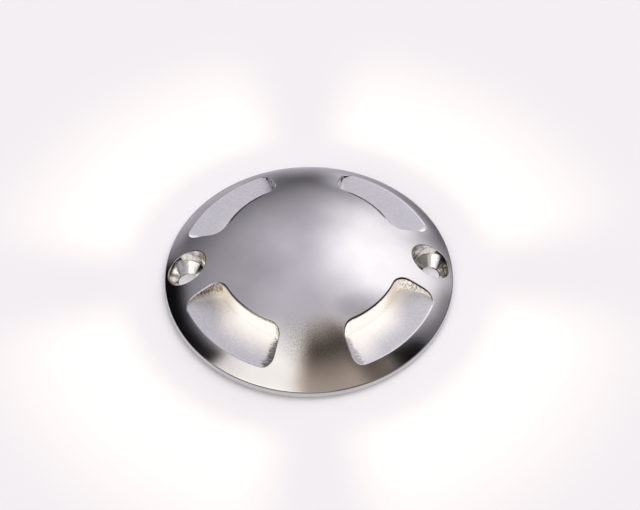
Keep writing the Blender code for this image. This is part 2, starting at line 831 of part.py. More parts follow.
def make_gland(light):
    """Cable gland in the cap: lock nut, washer, body, rubber seal and nut."""
    hole_radius = gland_thread_radius + gap
    locknut = lofted(
        [
            ring_of(hole_radius, locknut_bottom, small_segments),
            ring_of(hole_radius, locknut_top, small_segments),
            polygon_ring(locknut_radius, locknut_top, small_segments, 6),
            polygon_ring(locknut_radius, locknut_bottom, small_segments, 6),
        ],
        ring=True,
    )
    piece("gland_locknut", locknut, light, grey_plastic)
    washer = [
        (hole_radius, gland_washer_top - gland_washer_thickness),
        (gland_washer_radius, gland_washer_top - gland_washer_thickness),
        (gland_washer_radius, gland_washer_top),
        (hole_radius, gland_washer_top),
    ]
    piece("gland_washer", turned(washer, small_segments), light, black_rubber)
    body = lofted(
        [
            ring_of(gland_bore_radius, gland_thread_top, small_segments),
            ring_of(gland_thread_radius, gland_thread_top, small_segments),
            ring_of(gland_thread_radius, gland_hex_top, small_segments),
            polygon_ring(gland_hex_radius, gland_hex_top, small_segments, 6),
            polygon_ring(gland_hex_radius, gland_hex_bottom, small_segments, 6),
            ring_of(collar_radius, gland_hex_bottom, small_segments),
            ring_of(collar_radius, collar_bottom, small_segments),
            ring_of(collar_pocket_radius, collar_bottom, small_segments),
            ring_of(collar_pocket_radius, pocket_top, small_segments),
            ring_of(gland_bore_radius, pocket_top, small_segments),
        ],
        ring=True,
    )
    piece("gland_body", body, light, grey_plastic)
    seal_radius = collar_pocket_radius - gap
    seal = [
        (gland_seal_bore_radius, gland_seal_bottom),
        (seal_radius - gland_seal_taper, gland_seal_bottom),
        (seal_radius, gland_seal_bottom + gland_seal_taper),
        (seal_radius, gland_seal_top),
        (gland_seal_bore_radius, gland_seal_top),
    ]
    piece("gland_seal", turned(seal, small_segments), light, black_rubber)
    nut = lofted(
        [
            ring_of(collar_radius + gap, gland_nut_top, small_segments),
            polygon_ring(gland_nut_radius, gland_nut_top, small_segments, 6),
            polygon_ring(gland_nut_radius, gland_nut_bottom + gland_nut_round, small_segments, 6),
            ring_of(collar_radius, gland_nut_bottom, small_segments),
            ring_of(gland_nut_bore_radius, gland_nut_bottom, small_segments),
            ring_of(gland_nut_bore_radius, gland_nut_floor, small_segments),
            ring_of(collar_radius + gap, gland_nut_floor, small_segments),
        ],
        ring=True,
    )
    piece("gland_nut", nut, light, grey_plastic)


def arch_outline(half_width, bottom, top):
    """Outline across X and up Z with a half-round head."""
    spring = top - half_width
    outline = [(-half_width, bottom), (half_width, bottom)]
    for step in range(entry_arc_steps + 1):
        turn = pi * step / entry_arc_steps
        outline.append((half_width * cos(turn), spring + half_width * sin(turn)))
    return outline


def make_sleeve(sleeve_base):
    """Moulded tube with a foot, anchor rings, gussets and two arched cable entries."""
    profile = [
        (drain_radius, 0),
        (foot_radius, 0),
        (foot_radius, foot_thickness),
        (sleeve_outer, foot_thickness),
    ]
    for number in range(anchor_ring_count):
        middle = sleeve_top * (number + 1) / (anchor_ring_count + 1)
        profile += [
            (sleeve_outer, middle - anchor_ring_thickness / 2),
            (sleeve_outer + anchor_ring_reach, middle - anchor_ring_thickness / 2),
            (sleeve_outer + anchor_ring_reach, middle + anchor_ring_thickness / 2),
            (sleeve_outer, middle + anchor_ring_thickness / 2),
        ]
    profile += [
        (sleeve_outer, sleeve_top),
        (sleeve_inner + sleeve_lead_in, sleeve_top),
        (sleeve_inner, sleeve_top - sleeve_lead_in),
        (sleeve_inner, foot_thickness),
        (drain_radius, foot_thickness),
    ]
    sleeve = piece("sleeve", turned(profile, sleeve_segments), sleeve_base, sleeve_plastic)
    root = sleeve_outer - gusset_root
    side = gusset_thickness / 2
    triangle = (
        (root, foot_thickness - gusset_root),
        (sleeve_outer + gusset_reach, foot_thickness - gusset_root),
        (root, foot_thickness + gusset_height),
    )
    gusset = lofted([[(x, y, z) for x, z in triangle] for y in (-side, side)])
    gusset_mesh = mesh_of("gusset", gusset)
    for number in range(gusset_count):
        turn = tau * (number + 0.5) / gusset_count
        guide = cutter(f"gusset_{number + 1}", gusset_mesh, sleeve_base, turn=turn)
        shaped_by(sleeve, guide, "UNION")
    entry = arch_outline(entry_width / 2, foot_thickness, foot_thickness + entry_height)
    near = sleeve_inner * cos(asin(entry_width / 2 / sleeve_inner)) - overrun
    far = sleeve_outer + overrun
    arch = lofted([[(x, y, z) for x, z in entry] for y in (near, far)])
    arch_mesh = mesh_of("entry_cut", arch)
    for number in range(entry_count):
        turn = tau * number / entry_count
        shaped_by(sleeve, cutter(f"entry_cut_{number + 1}", arch_mesh, sleeve_base, turn=turn))

    inset = arch_outline(
        entry_width / 2 - gap, foot_thickness + gap, foot_thickness + entry_height - gap
    )
    lip = arch_outline(
        entry_width / 2 + plug_lip, foot_thickness + gap, foot_thickness + entry_height + plug_lip
    )
    lip_near = sleeve_outer + gap
    plug = lofted([
        [(x, lip_near - plug_depth, z) for x, z in inset],
        [(x, lip_near, z) for x, z in inset],
        [(x, lip_near, z) for x, z in lip],
        [(x, lip_near + plug_lip_thickness, z) for x, z in lip],
    ])
    piece("entry_plug", plug, sleeve_base, black_rubber)


def clear_scene():
    """Start from an empty scene."""
    for item in list(bpy.data.objects):
        bpy.data.objects.remove(item)


clear_scene()
sleeve_base = placed("ground_sleeve", None, None)
light = placed("light", None, None, (0, 0, ground_height))
make_sleeve(sleeve_base)
make_cover(light)
make_lens(light)
make_deflector(light)
lamp_guides = make_lamp(light)
housing = make_housing(light, lamp_guides)
make_driver(light)
make_leads(light)
make_cap(light, housing)
make_gland(light)
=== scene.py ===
"""Looks of the recessed ground light: the finish of every piece, put together from the ground up,
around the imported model. Metres, +Z up, in the model's own frame.
"""

from math import asin, cos, hypot, pi, radians, sin, sqrt, tau

import bmesh
import bpy
from mathutils import Matrix, Vector, noise
from mathutils.geometry import delaunay_2d_cdt


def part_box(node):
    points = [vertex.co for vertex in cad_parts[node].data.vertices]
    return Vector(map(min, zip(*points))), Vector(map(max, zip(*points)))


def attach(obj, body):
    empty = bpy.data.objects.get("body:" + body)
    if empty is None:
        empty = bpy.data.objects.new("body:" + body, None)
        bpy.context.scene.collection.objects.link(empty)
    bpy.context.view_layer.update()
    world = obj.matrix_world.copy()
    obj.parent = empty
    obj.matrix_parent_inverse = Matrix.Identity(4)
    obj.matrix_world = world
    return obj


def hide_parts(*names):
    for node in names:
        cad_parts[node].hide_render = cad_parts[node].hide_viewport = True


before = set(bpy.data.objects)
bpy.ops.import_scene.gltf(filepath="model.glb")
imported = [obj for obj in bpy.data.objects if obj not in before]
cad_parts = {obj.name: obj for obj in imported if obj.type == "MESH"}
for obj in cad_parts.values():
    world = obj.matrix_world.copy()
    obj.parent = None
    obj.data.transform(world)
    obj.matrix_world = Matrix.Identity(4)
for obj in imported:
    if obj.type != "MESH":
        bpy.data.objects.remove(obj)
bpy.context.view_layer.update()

# Ground sleeve
# Moulded black plastic that is set in the ground for good: a tube on a foot, with two anchor
# rings, eight gussets, two arched cable entries, and the marks that its mould left.

mm = 0.001
crease = radians(38)
merge_distance = 0.001 * mm
overrun = 1 * mm
round_steps = 3
round_share = 0.4
turned_steps = 144
sleeve_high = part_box("sleeve")[1]
sleeve_top = sleeve_high.z
foot_radius = sleeve_high.x
sleeve_outer = 28.7 * mm
sleeve_inner = 27.3 * mm
sleeve_edge = 0.35 * mm
foot_thickness = 2.5 * mm
drain_radius = 11.0 * mm
anchor_ring_count = 2
anchor_ring_reach = 2.4 * mm
anchor_ring_thickness = 2.0 * mm
gusset_count = 8
gusset_reach = 4.0 * mm
gusset_height = 20.0 * mm
gusset_thickness = 2.0 * mm
gusset_root = 0.7 * mm
entry_width = 12.0 * mm
entry_height = 13.0 * mm
entry_arc_steps = 24
pin_mark_radius = 1.5 * mm
pin_mark_height = 0.12 * mm
pin_mark_steps = 24
seam_width = 0.3 * mm
seam_reach = 0.09 * mm
sleeve_grain = (0.5 * mm, 0.05 * mm)


def ring_at(radius, height, count, start=0):
    """A level loop of points on a circle about the axis."""
    turns = [start + tau * step / count for step in range(count)]
    return [Vector((radius * cos(turn), radius * sin(turn), height)) for turn in turns]


def rings_at(places, count):
    """Level loops of equal count, from their radii and heights."""
    return [ring_at(radius, height, count) for radius, height in places]


def flat_ring(radius, low, high, inner=0):
    """Outline of a flat ring or, with no inner radius, of a disc."""
    return [(inner, low), (radius, low), (radius, high), (inner, high)]


def bend(first, corner, last, share):
    """A point on the round between two edges that meet in a corner."""
    rest = 1 - share
    return first * rest**2 + corner * (2 * rest * share) + last * share**2


def rounded(outline, radius):
    """An outline of radii and heights with its corners rounded, except those on the axis."""
    corners = [Vector(corner) for corner in outline]
    points = []
    for number, corner in enumerate(corners):
        before = corners[number - 1] - corner
        after = corners[(number + 1) % len(corners)] - corner
        if corner.x == 0:
            points.append(corner)
            continue
        reach = min(radius, round_share * before.length, round_share * after.length)
        first = corner + before.normalized() * reach
        last = corner + after.normalized() * reach
        points += [bend(first, corner, last, step / round_steps) for step in range(round_steps + 1)]
    return points


def turned(outline, count=turned_steps):
    """A shape turned about Z from an outline, left open where it starts and ends on the axis."""
    shape = bmesh.new()
    points = [shape.verts.new((radius, 0, height)) for radius, height in outline]
    pairs = list(zip(points, points[1:]))
    if outline[0][0] > 0 or outline[-1][0] > 0:
        pairs.append((points[-1], points[0]))
    edges = [shape.edges.new(pair) for pair in pairs]
    bmesh.ops.spin(shape, geom=points + edges, cent=(0, 0, 0), axis=(0, 0, 1), angle=tau, steps=count)
    return shape


def skin(shape, loops):
    """Faces between neighbouring loops of equal count; returns the first and last rows of points."""
    rows = [[shape.verts.new(point) for point in loop] for loop in loops]
    for upper, lower in zip(rows, rows[1:]):
        for step in range(len(upper)):
            after = (step + 1) % len(upper)
            shape.faces.new((upper[step], upper[after], lower[after], lower[step]))
    return rows[0], rows[-1]


def lofted(loops, ring=False):
    """A shape skinned over loops of equal count: capped at its ends, or closed into a ring."""
    shape = bmesh.new()
    if ring:
        skin(shape, [*loops, loops[0]])
    else:
        for row in skin(shape, loops):
            shape.faces.new(row)
    return shape


def repeated(shape, spots):
    """Copies of a shape, each turned about Z and then moved; the shape itself is used up."""
    source = bpy.data.meshes.new("source")
    shape.to_mesh(source)
    shape.free()
    copies = bmesh.new()
    for turn, place in spots:
        first = len(copies.verts)
        copies.from_mesh(source)
        copies.verts.ensure_lookup_table()
        fresh = copies.verts[first:]
        bmesh.ops.rotate(copies, verts=fresh, matrix=Matrix.Rotation(turn, 3, "Z"))
        bmesh.ops.translate(copies, verts=fresh, vec=place)
    bpy.data.meshes.remove(source)
    return copies


def moved(shape, place):
    """A shape in another place."""
    bmesh.ops.translate(shape, vec=place, verts=shape.verts)
    return shape


def mesh_of(name, shape, rise=0, angle=crease):
    """Close a shape, turn its faces outwards, raise it and shade it."""
    bmesh.ops.remove_doubles(shape, verts=shape.verts, dist=merge_distance)
    bmesh.ops.dissolve_degenerate(shape, edges=shape.edges, dist=merge_distance / 2)
    bmesh.ops.recalc_face_normals(shape, faces=shape.faces)
    moved(shape, (0, 0, rise))
    mesh = bpy.data.meshes.new(name)
    shape.to_mesh(mesh)
    shape.free()
    mesh.shade_smooth()
    mesh.set_sharp_from_angle(angle=angle)
    return mesh


def shown(name, mesh):
    """An object in the scene from a mesh."""
    item = bpy.data.objects.new(name, mesh)
    bpy.context.scene.collection.objects.link(item)
    return item


def plain_mesh(item):
    """The mesh of an object with its modifiers carried out."""
    bpy.context.view_layer.update()
    evaluated = item.evaluated_get(bpy.context.evaluated_depsgraph_get())
    return bpy.data.meshes.new_from_object(evaluated)


def cut_by(item, shape, rise=0):
    """Cut a shape out of an object's mesh."""
    guide = shown("guide", mesh_of("guide", shape, rise))
    change = item.modifiers.new("change", "BOOLEAN")
    change.solver = "EXACT"
    change.object = guide
    item.data = plain_mesh(item)
    item.modifiers.clear()
    bpy.data.objects.remove(guide)
    item.data.set_sharp_from_angle(angle=crease)
    return item


def joined(tree, kind, inputs=(), **settings):
    """A new node with its settings, and its inputs linked or set."""
    node = tree.nodes.new(kind)
    for name, value in settings.items():
        setattr(node, name, value)
    for place, value in inputs:
        if isinstance(value, bpy.types.NodeSocket):
            tree.links.new(value, node.inputs[place])
        else:
            node.inputs[place].default_value = value
    return node


def calculated(tree, operation, first, second=0.0):
    """Output of a math node."""
    return joined(tree, "ShaderNodeMath", ((0, first), (1, second)), operation=operation).outputs[0]


def vectors(tree, operation, *inputs):
    """A vector math node."""
    return joined(tree, "ShaderNodeVectorMath", enumerate(inputs), operation=operation)


def place_on(tree):
    """Object coordinates."""
    return joined(tree, "ShaderNodeTexCoord").outputs["Object"]


def axes_of(tree, vector):
    """The three parts of a vector."""
    return joined(tree, "ShaderNodeSeparateXYZ", ((0, vector),)).outputs


def opposite(tree, share):
    """What a share leaves of one."""
    return calculated(tree, "SUBTRACT", 1.0, share)


def product(tree, first, *others):
    """Output of a chain of multiplications."""
    for other in others:
        first = calculated(tree, "MULTIPLY", first, other)
    return first


def ramp(tree, value, start, end, low=0.0, high=1.0):
    """A smooth change from low at start to high at end."""
    places = (("Value", value), ("From Min", start), ("From Max", end), ("To Min", low), ("To Max", high))
    return joined(tree, "ShaderNodeMapRange", places, interpolation_type="SMOOTHSTEP").outputs["Result"]


def mixed(tree, share, first, second):
    """A colour between two others."""
    colours = [(*value, 1) if isinstance(value, tuple) else value for value in (first, second)]
    places = ((0, share), (6, colours[0]), (7, colours[1]))
    return joined(tree, "ShaderNodeMix", places, data_type="RGBA").outputs[2]


def between(tree, share, first, second):
    """A number between two others."""
    return joined(tree, "ShaderNodeMix", ((0, share), (2, first), (3, second))).outputs[0]


def speckle(tree, place, size, detail=3.0, rough=0.5, stretch=(1, 1, 1)):
    """Noise of a grain size, on object coordinates."""
    mapping = joined(tree, "ShaderNodeMapping", (("Vector", place), ("Scale", stretch)))
    noisy = (("Vector", mapping.outputs[0]), ("Scale", 1 / size), ("Detail", detail), ("Roughness", rough))
    return joined(tree, "ShaderNodeTexNoise", noisy).outputs["Fac"]


def linked_bump(tree, shader, height, distance):
    """Give a shader's surface its relief."""
    bump = joined(tree, "ShaderNodeBump", (("Distance", distance), ("Height", height)))
    tree.links.new(bump.outputs[0], shader.inputs["Normal"])


def effect(name, inputs, outputs):
    """A shader group with named sockets; returns it with its first and last nodes."""
    group = bpy.data.node_groups.new(name, "ShaderNodeTree")
    for label, kind, value in inputs:
        socket = group.interface.new_socket(label, in_out="INPUT", socket_type=kind)
        socket.default_value = value
    for label, kind in outputs:
        group.interface.new_socket(label, in_out="OUTPUT", socket_type=kind)
    return group, group.nodes.new("NodeGroupInput"), group.nodes.new("NodeGroupOutput")


# Fine grain: the even unevenness of a moulded, cast or plated surface
grain, grain_in, grain_out = effect(
    "fine_grain",
    (("Vector", "NodeSocketVector", (0, 0, 0)), ("Grains", "NodeSocketFloat", 2000.0)),
    (("Tone", "NodeSocketFloat"), ("Height", "NodeSocketFloat")),
)
cloud_share = 0.08
broad = calculated(grain, "MULTIPLY", grain_in.outputs["Grains"], cloud_share)
small = (("Vector", grain_in.outputs["Vector"]), ("Scale", grain_in.outputs["Grains"]), ("Detail", 3.0))
large = (("Vector", grain_in.outputs["Vector"]), ("Scale", broad), ("Detail", 2.0))
small_noise = joined(grain, "ShaderNodeTexNoise", small).outputs["Fac"]
large_noise = joined(grain, "ShaderNodeTexNoise", large).outputs["Fac"]
mean_noise = product(grain, calculated(grain, "ADD", small_noise, large_noise), 0.5)
grain.links.new(ramp(grain, mean_noise, 0.3, 0.7), grain_out.inputs["Tone"])
grain.links.new(small_noise, grain_out.inputs["Height"])


def plain_finish(name, colour, roughness, metallic):
    """A material of one even colour, with its tree and shader."""
    surface = bpy.data.materials.new(name)
    surface.use_nodes = True
    tree = surface.node_tree
    shader = tree.nodes["Principled BSDF"]
    shader.inputs["Base Color"].default_value = (*colour, 1)
    shader.inputs["Roughness"].default_value = roughness
    shader.inputs["Metallic"].default_value = metallic
    return surface, tree, shader


def grained_finish(name, colour, roughness, metallic, grain_lengths, contrast):
    """A material with a grain of a size and relief, in its tone, its roughness and its surface."""
    size, relief = grain_lengths
    surface, tree, shader = plain_finish(name, colour, roughness, metallic)
    place = place_on(tree)
    marks = joined(tree, "ShaderNodeGroup", node_tree=grain)
    tree.links.new(place, marks.inputs["Vector"])
    marks.inputs["Grains"].default_value = 1 / size
    dark = tuple(value * (1 - contrast) for value in colour)
    tree.links.new(mixed(tree, marks.outputs["Tone"], dark, colour), shader.inputs["Base Color"])
    limits = (roughness * (1 + contrast), roughness * (1 - contrast))
    rough = ramp(tree, marks.outputs["Tone"], 0.0, 1.0, *limits)
    tree.links.new(rough, shader.inputs["Roughness"])
    linked_bump(tree, shader, marks.outputs["Height"], relief)
    return surface


def geometry_tree(name, inputs):
    """A geometry tree with named inputs; returns it with its first node."""
    tree = bpy.data.node_groups.new(name, "GeometryNodeTree")
    for label, kind in (("Geometry", "Geometry"), *inputs, ("Material", "Material")):
        tree.interface.new_socket(label, in_out="INPUT", socket_type="NodeSocket" + kind)
    tree.interface.new_socket("Geometry", in_out="OUTPUT", socket_type="NodeSocketGeometry")
    return tree, tree.nodes.new("NodeGroupInput")


def ended(tree, start, made):
    """Finish a geometry tree with real geometry in its material."""
    real = joined(tree, "GeometryNodeRealizeInstances", (("Geometry", made),)).outputs[0]
    finished = (("Geometry", real), ("Material", start.outputs["Material"]))
    result = joined(tree, "GeometryNodeSetMaterial", finished).outputs[0]
    joined(tree, "NodeGroupOutput", (("Geometry", result),))


def worked_out(name, mesh, tree, **values):
    """An object with the plain mesh that a geometry tree makes of another mesh."""
    item = shown(name, mesh)
    change = item.modifiers.new(tree.name, "NODES")
    change.node_group = tree
    for socket in tree.interface.items_tree:
        if socket.in_out == "INPUT" and socket.name in values:
            change[socket.identifier] = values[socket.name]
    item.data = plain_mesh(item)
    item.modifiers.clear()
    return item


# Around: copies of one shape, evenly spaced about an upright line
around, around_in = geometry_tree(
    "around", (("Count", "Int"), ("Start", "Float"), ("Centre", "Vector"))
)
points = joined(around, "GeometryNodePoints", (("Count", around_in.outputs["Count"]),)).outputs[0]
copy_number = joined(around, "GeometryNodeInputIndex").outputs[0]
step_turn = calculated(around, "DIVIDE", tau, around_in.outputs["Count"])
full_turn = calculated(around, "ADD", product(around, copy_number, step_turn), around_in.outputs["Start"])
facing_out = joined(around, "ShaderNodeCombineXYZ", (("Z", full_turn),)).outputs[0]
placed = (("Points", points), ("Instance", around_in.outputs["Geometry"]), ("Rotation", facing_out))
copies = joined(around, "GeometryNodeInstanceOnPoints", placed).outputs[0]
shifted = (("Geometry", copies), ("Translation", around_in.outputs["Centre"]))
ended(around, around_in, joined(around, "GeometryNodeTransform", shifted).outputs[0])


def carried(item, slot, *nodes, body="light"):
    """Fix a finished piece to its body and hide the CAD nodes that it stands for. The slot is not used."""
    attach(item, body)
    if nodes:
        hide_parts(*nodes)
    return item


def coated(name, shape, finish):
    """An object from a shape, in its finish."""
    item = shown(name, mesh_of(name, shape))
    item.data.materials.append(finish)
    return item


def sleeve_outline():
    """Foot, tube with its anchor rings, and the lead-in at the top."""
    outline = flat_ring(foot_radius, 0, foot_thickness, drain_radius)[:-1]
    outline.append((sleeve_outer, foot_thickness))
    for number in range(anchor_ring_count):
        middle = sleeve_top * (number + 1) / (anchor_ring_count + 1)
        low = middle - anchor_ring_thickness / 2
        high = middle + anchor_ring_thickness / 2
        reach = sleeve_outer + anchor_ring_reach
        outline += [(sleeve_outer, low), (reach, low), (reach, high), (sleeve_outer, high)]
    outline += [
        (sleeve_outer, sleeve_top),
        (sleeve_inner + sleeve_edge, sleeve_top),
        (sleeve_inner, sleeve_top - sleeve_edge),
        (sleeve_inner, foot_thickness),
        (drain_radius, foot_thickness),
    ]
    return outline


def gusset():
    """Upright triangle between the tube and the foot, thinner towards its edge."""
    root = sleeve_outer - gusset_root
    tip = sleeve_outer + gusset_reach
    low = foot_thickness - gusset_root
    high = foot_thickness + gusset_height
    edge = gusset_thickness / 2 - sleeve_edge
    side = gusset_thickness / 2
    loops = []
    for across, back in ((-edge, 0), (-side, sleeve_edge), (side, sleeve_edge), (edge, 0)):
        loops.append([(root, across, low), (tip - back, across, low), (root, across, high - back)])
    return lofted(loops)


def arch(half_width, bottom, top, depth):
    """Loop across X and up Z with a half-round head, at a depth along Y."""
    spring = top - half_width
    loop = [(-half_width, depth, bottom), (half_width, depth, bottom)]
    for step in range(entry_arc_steps + 1):
        turn = pi * step / entry_arc_steps
        loop.append((half_width * cos(turn), depth, spring + half_width * sin(turn)))
    return loop


black_plastic = grained_finish("sleeve_plastic", (0.035, 0.035, 0.038), 0.46, 0.0, sleeve_grain, 0.25)
sleeve = coated("ground_sleeve_tube", turned(rounded(sleeve_outline(), sleeve_edge)), black_plastic)
entry = lofted([
    arch(entry_width / 2, foot_thickness, foot_thickness + entry_height, depth)
    for depth in (drain_radius, foot_radius)
])
cut_by(sleeve, repeated(entry, [(0, (0, 0, 0)), (pi, (0, 0, 0))]))
carried(sleeve, "sleeve_plastic", "sleeve", body="ground_sleeve")

gusset_mesh = mesh_of("gusset", gusset())
start = pi / gusset_count
gussets = worked_out(
    "sleeve_gussets", gusset_mesh, around, Count=gusset_count, Start=start, Material=black_plastic
)
carried(gussets, "sleeve_plastic", body="ground_sleeve")

mark_circle = (sleeve_outer + foot_radius) / 2
mark_low = foot_thickness - pin_mark_height
mark_high = foot_thickness + pin_mark_height
pin_mark = turned(flat_ring(pin_mark_radius, mark_low, mark_high), pin_mark_steps)
moved(pin_mark, (mark_circle, 0, 0))
pin_marks = worked_out(
    "mould_pin_marks", mesh_of("pin_mark", pin_mark), around, Count=gusset_count, Material=black_plastic
)
carried(pin_marks, "sleeve_plastic", body="ground_sleeve")

seam_low = foot_thickness + sleeve_edge
seam_section = [(-seam_width / 2, -seam_reach), (0, seam_reach), (seam_width / 2, -seam_reach)]
seam_ends = (seam_low, sleeve_top - sleeve_edge)
seam = lofted([[(sleeve_outer + x, y, z) for y, x in seam_section] for z in seam_ends])
seams = worked_out("mould_seams", mesh_of("seam", seam), around, Count=2, Material=black_plastic)
carried(seams, "sleeve_plastic", body="ground_sleeve")

# Entry plug
# Rubber plug that closes the sleeve's unused cable entry from outside: a dished face with a raised
# rim, and behind it the stem that fills the arch.

plug_low, plug_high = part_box("entry_plug")
seat_gap = 0.3 * mm
plug_rim = 0.3 * mm
plug_dish = 0.5 * mm
plug_face = 1.6 * mm
plug_lip = 1.5 * mm
plug_lip_thickness = 1.3 * mm
rubber_grain = (0.25 * mm, 0.02 * mm)


def plug_loop(inset, depth, lip):
    """The plug's outline at a depth: its lip or its stem, drawn in by an inset."""
    short = 0 if lip else plug_lip + seat_gap
    return arch(plug_high.x - short - inset, plug_low.z + inset, plug_high.z - short - inset, depth)


rubber = grained_finish("black_rubber", (0.022, 0.022, 0.022), 0.72, 0.0, rubber_grain, 0.2)
lip_back = plug_high.y - plug_lip_thickness
plug = lofted([
    plug_loop(plug_rim, plug_low.y, False),
    plug_loop(0, plug_low.y + plug_rim, False),
    plug_loop(0, lip_back, False),
    plug_loop(plug_rim, lip_back, True),
    plug_loop(0, lip_back + plug_rim, True),
    plug_loop(0, plug_high.y - plug_rim, True),
    plug_loop(plug_rim, plug_high.y, True),
    plug_loop(plug_face, plug_high.y, True),
    plug_loop(plug_face + plug_rim, plug_high.y - plug_dish, True),
])
carried(coated("entry_plug_rubber", plug, rubber), "rubber", "entry_plug", body="ground_sleeve")

# Bottom cap
# Turned aluminium lid of the housing: a chamfered flange, a spigot with the seal's groove, three
# countersunk holes and the gland's hole in the middle.

cap_low, cap_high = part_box("bottom_cap")
housing_radius = 26.7 * mm
cap_bottom = cap_low.z
cap_flange = 3.5 * mm
cap_top = cap_bottom + cap_flange
cap_chamfer = 0.8 * mm
cap_spigot_radius = 22.2 * mm
cap_spigot_wall = 3.0 * mm
cap_seal_height = 2.5 * mm
cap_screw_count = 3
cap_screw_circle = 24.6 * mm
cap_screw_radius = 1.1 * mm
cap_screw_head = 1.9 * mm
cap_screw_length = 8.6 * mm
seal_cord = 0.6 * mm
seal_sides = 16
seal_bed = 0.9 * mm
seal_bed_depth = 1.5 * mm
gland_hole = 5.9 * mm
fine_edge = 0.15 * mm
turning_lengths = (0.35 * mm, 0.02 * mm)
turning_shade = 0.86
turning_contrast = 0.2
hole_steps = 40

# Turning marks: fine rings that a lathe leaves, by distance from the axis and by height
turning, turning_in, turning_out = effect(
    "turning_marks",
    (("Vector", "NodeSocketVector", (0, 0, 0)), ("Rings", "NodeSocketFloat", 4000.0)),
    (("Height", "NodeSocketFloat"),),
)
turning_x, turning_y, turning_z = axes_of(turning, turning_in.outputs["Vector"])
level = joined(turning, "ShaderNodeCombineXYZ", (("X", turning_x), ("Y", turning_y))).outputs[0]
spiral = calculated(turning, "ADD", vectors(turning, "LENGTH", level).outputs["Value"], turning_z)
ring_noise = (("W", spiral), ("Scale", turning_in.outputs["Rings"]), ("Detail", 2.0))
rings = joined(turning, "ShaderNodeTexNoise", ring_noise, noise_dimensions="1D").outputs["Fac"]
turning.links.new(rings, turning_out.inputs["Height"])


def turned_finish(name, colour, roughness, ring_lengths):
    """Bare metal with turning marks, of a width and relief, and a fine grain."""
    rings_each, relief = ring_lengths
    surface, tree, shader = plain_finish(name, colour, roughness, 1)
    place = place_on(tree)
    lathe = joined(tree, "ShaderNodeGroup", node_tree=turning)
    tree.links.new(place, lathe.inputs["Vector"])
    lathe.inputs["Rings"].default_value = 1 / rings_each
    marks = joined(tree, "ShaderNodeGroup", node_tree=grain)
    tree.links.new(place, marks.inputs["Vector"])
    dark = tuple(value * turning_shade for value in colour)
    tree.links.new(mixed(tree, marks.outputs["Tone"], dark, colour), shader.inputs["Base Color"])
    limits = (roughness * (1 - turning_contrast), roughness * (1 + turning_contrast))
    rough = ramp(tree, lathe.outputs["Height"], 0.3, 0.7, *limits)
    tree.links.new(rough, shader.inputs["Roughness"])
    linked_bump(tree, shader, lathe.outputs["Height"], relief)
    return surface


def round_hole(profile, spots):
    """Tools for holes: one turned outline, moved to several places."""
    return repeated(turned(profile, hole_steps), [(0, spot) for spot in spots])


aluminium = turned_finish("bare_aluminium", (0.72, 0.73, 0.75), 0.30, turning_lengths)
seal_middle = cap_top + cap_seal_height
cap_outline = [
    (gland_hole, cap_bottom),
    (housing_radius - cap_chamfer, cap_bottom),
    (housing_radius, cap_bottom + cap_chamfer),
    (housing_radius, cap_top),
    (cap_spigot_radius, cap_top),
    (cap_spigot_radius, seal_middle - seal_bed),
    (cap_spigot_radius - seal_bed_depth, seal_middle - seal_bed),
    (cap_spigot_radius - seal_bed_depth, seal_middle + seal_bed),
    (cap_spigot_radius, seal_middle + seal_bed),
    (cap_spigot_radius, cap_high.z),
    (cap_spigot_radius - cap_spigot_wall, cap_high.z),
    (cap_spigot_radius - cap_spigot_wall, cap_top),
    (gland_hole, cap_top),
]
cap_screw_spots = ring_at(cap_screw_circle, cap_bottom, cap_screw_count, pi / 2)
cap_sink = cap_screw_head - cap_screw_radius
cap_hole_outline = [
    (0, -overrun),
    (cap_screw_head + seat_gap, -overrun),
    (cap_screw_head + seat_gap, seat_gap / 2),
    (cap_screw_radius + seat_gap, seat_gap / 2 + cap_sink),
    (cap_screw_radius + seat_gap, cap_screw_length + seat_gap),
    (0, cap_screw_length + seat_gap),
]
cap = coated("bottom_cap_turned", turned(rounded(cap_outline, fine_edge)), aluminium)
cut_by(cap, round_hole(cap_hole_outline, cap_screw_spots))
carried(cap, "bare_aluminium", "bottom_cap")


def seal_ring(wall, middle):
    """Round cord in a ring, which lies inside a wall."""
    centre = wall - seat_gap - seal_cord
    turns = [tau * side / seal_sides for side in range(seal_sides)]
    return turned([(centre + seal_cord * cos(turn), middle + seal_cord * sin(turn)) for turn in turns])


housing_room = 22.5 * mm
carried(coated("cap_seal_cord", seal_ring(housing_room, seal_middle), rubber), "rubber", "cap_seal")

# Cap screws
# Three countersunk steel screws with a six-sided socket and a cut thread, heads down.

socket_radius = 0.95 * mm
socket_depth = 0.9 * mm
socket_sides = 6
screw_pitch = 0.45 * mm
screw_grain = (0.3 * mm, 0.01 * mm)
thread_depth_share = 0.16
thread_rows = 6
thread_steps = 36


def thread(radius, depth, pitch, bottom, top, count=thread_steps):
    """Loops up a threaded rod, whose thread fades out at both ends."""
    rows = round((top - bottom) / pitch * thread_rows)
    loops = []
    for row in range(rows + 1):
        height = bottom + (top - bottom) * row / rows
        fade = min(1, (height - bottom) / pitch, (top - height) / pitch)
        loop = []
        for step in range(count):
            turn = tau * step / count
            phase = (height / pitch - step / count) % 1
            reach = radius - depth * fade * abs(2 * phase - 1)
            loop.append((reach * cos(turn), reach * sin(turn), height))
        loops.append(loop)
    return loops


def polygon_at(radius, height, sides, count, drop=0, flat=0):
    """A level loop on a regular polygon; beyond a flat radius its corners drop off."""
    loop = []
    for step in range(count):
        turn = tau * step / count
        off_flat = (turn + pi / sides) % (tau / sides) - pi / sides
        reach = radius * cos(pi / sides) / cos(pi / sides - abs(off_flat))
        loop.append((reach * cos(turn), reach * sin(turn), height - drop * max(0, reach - flat)))
    return loop


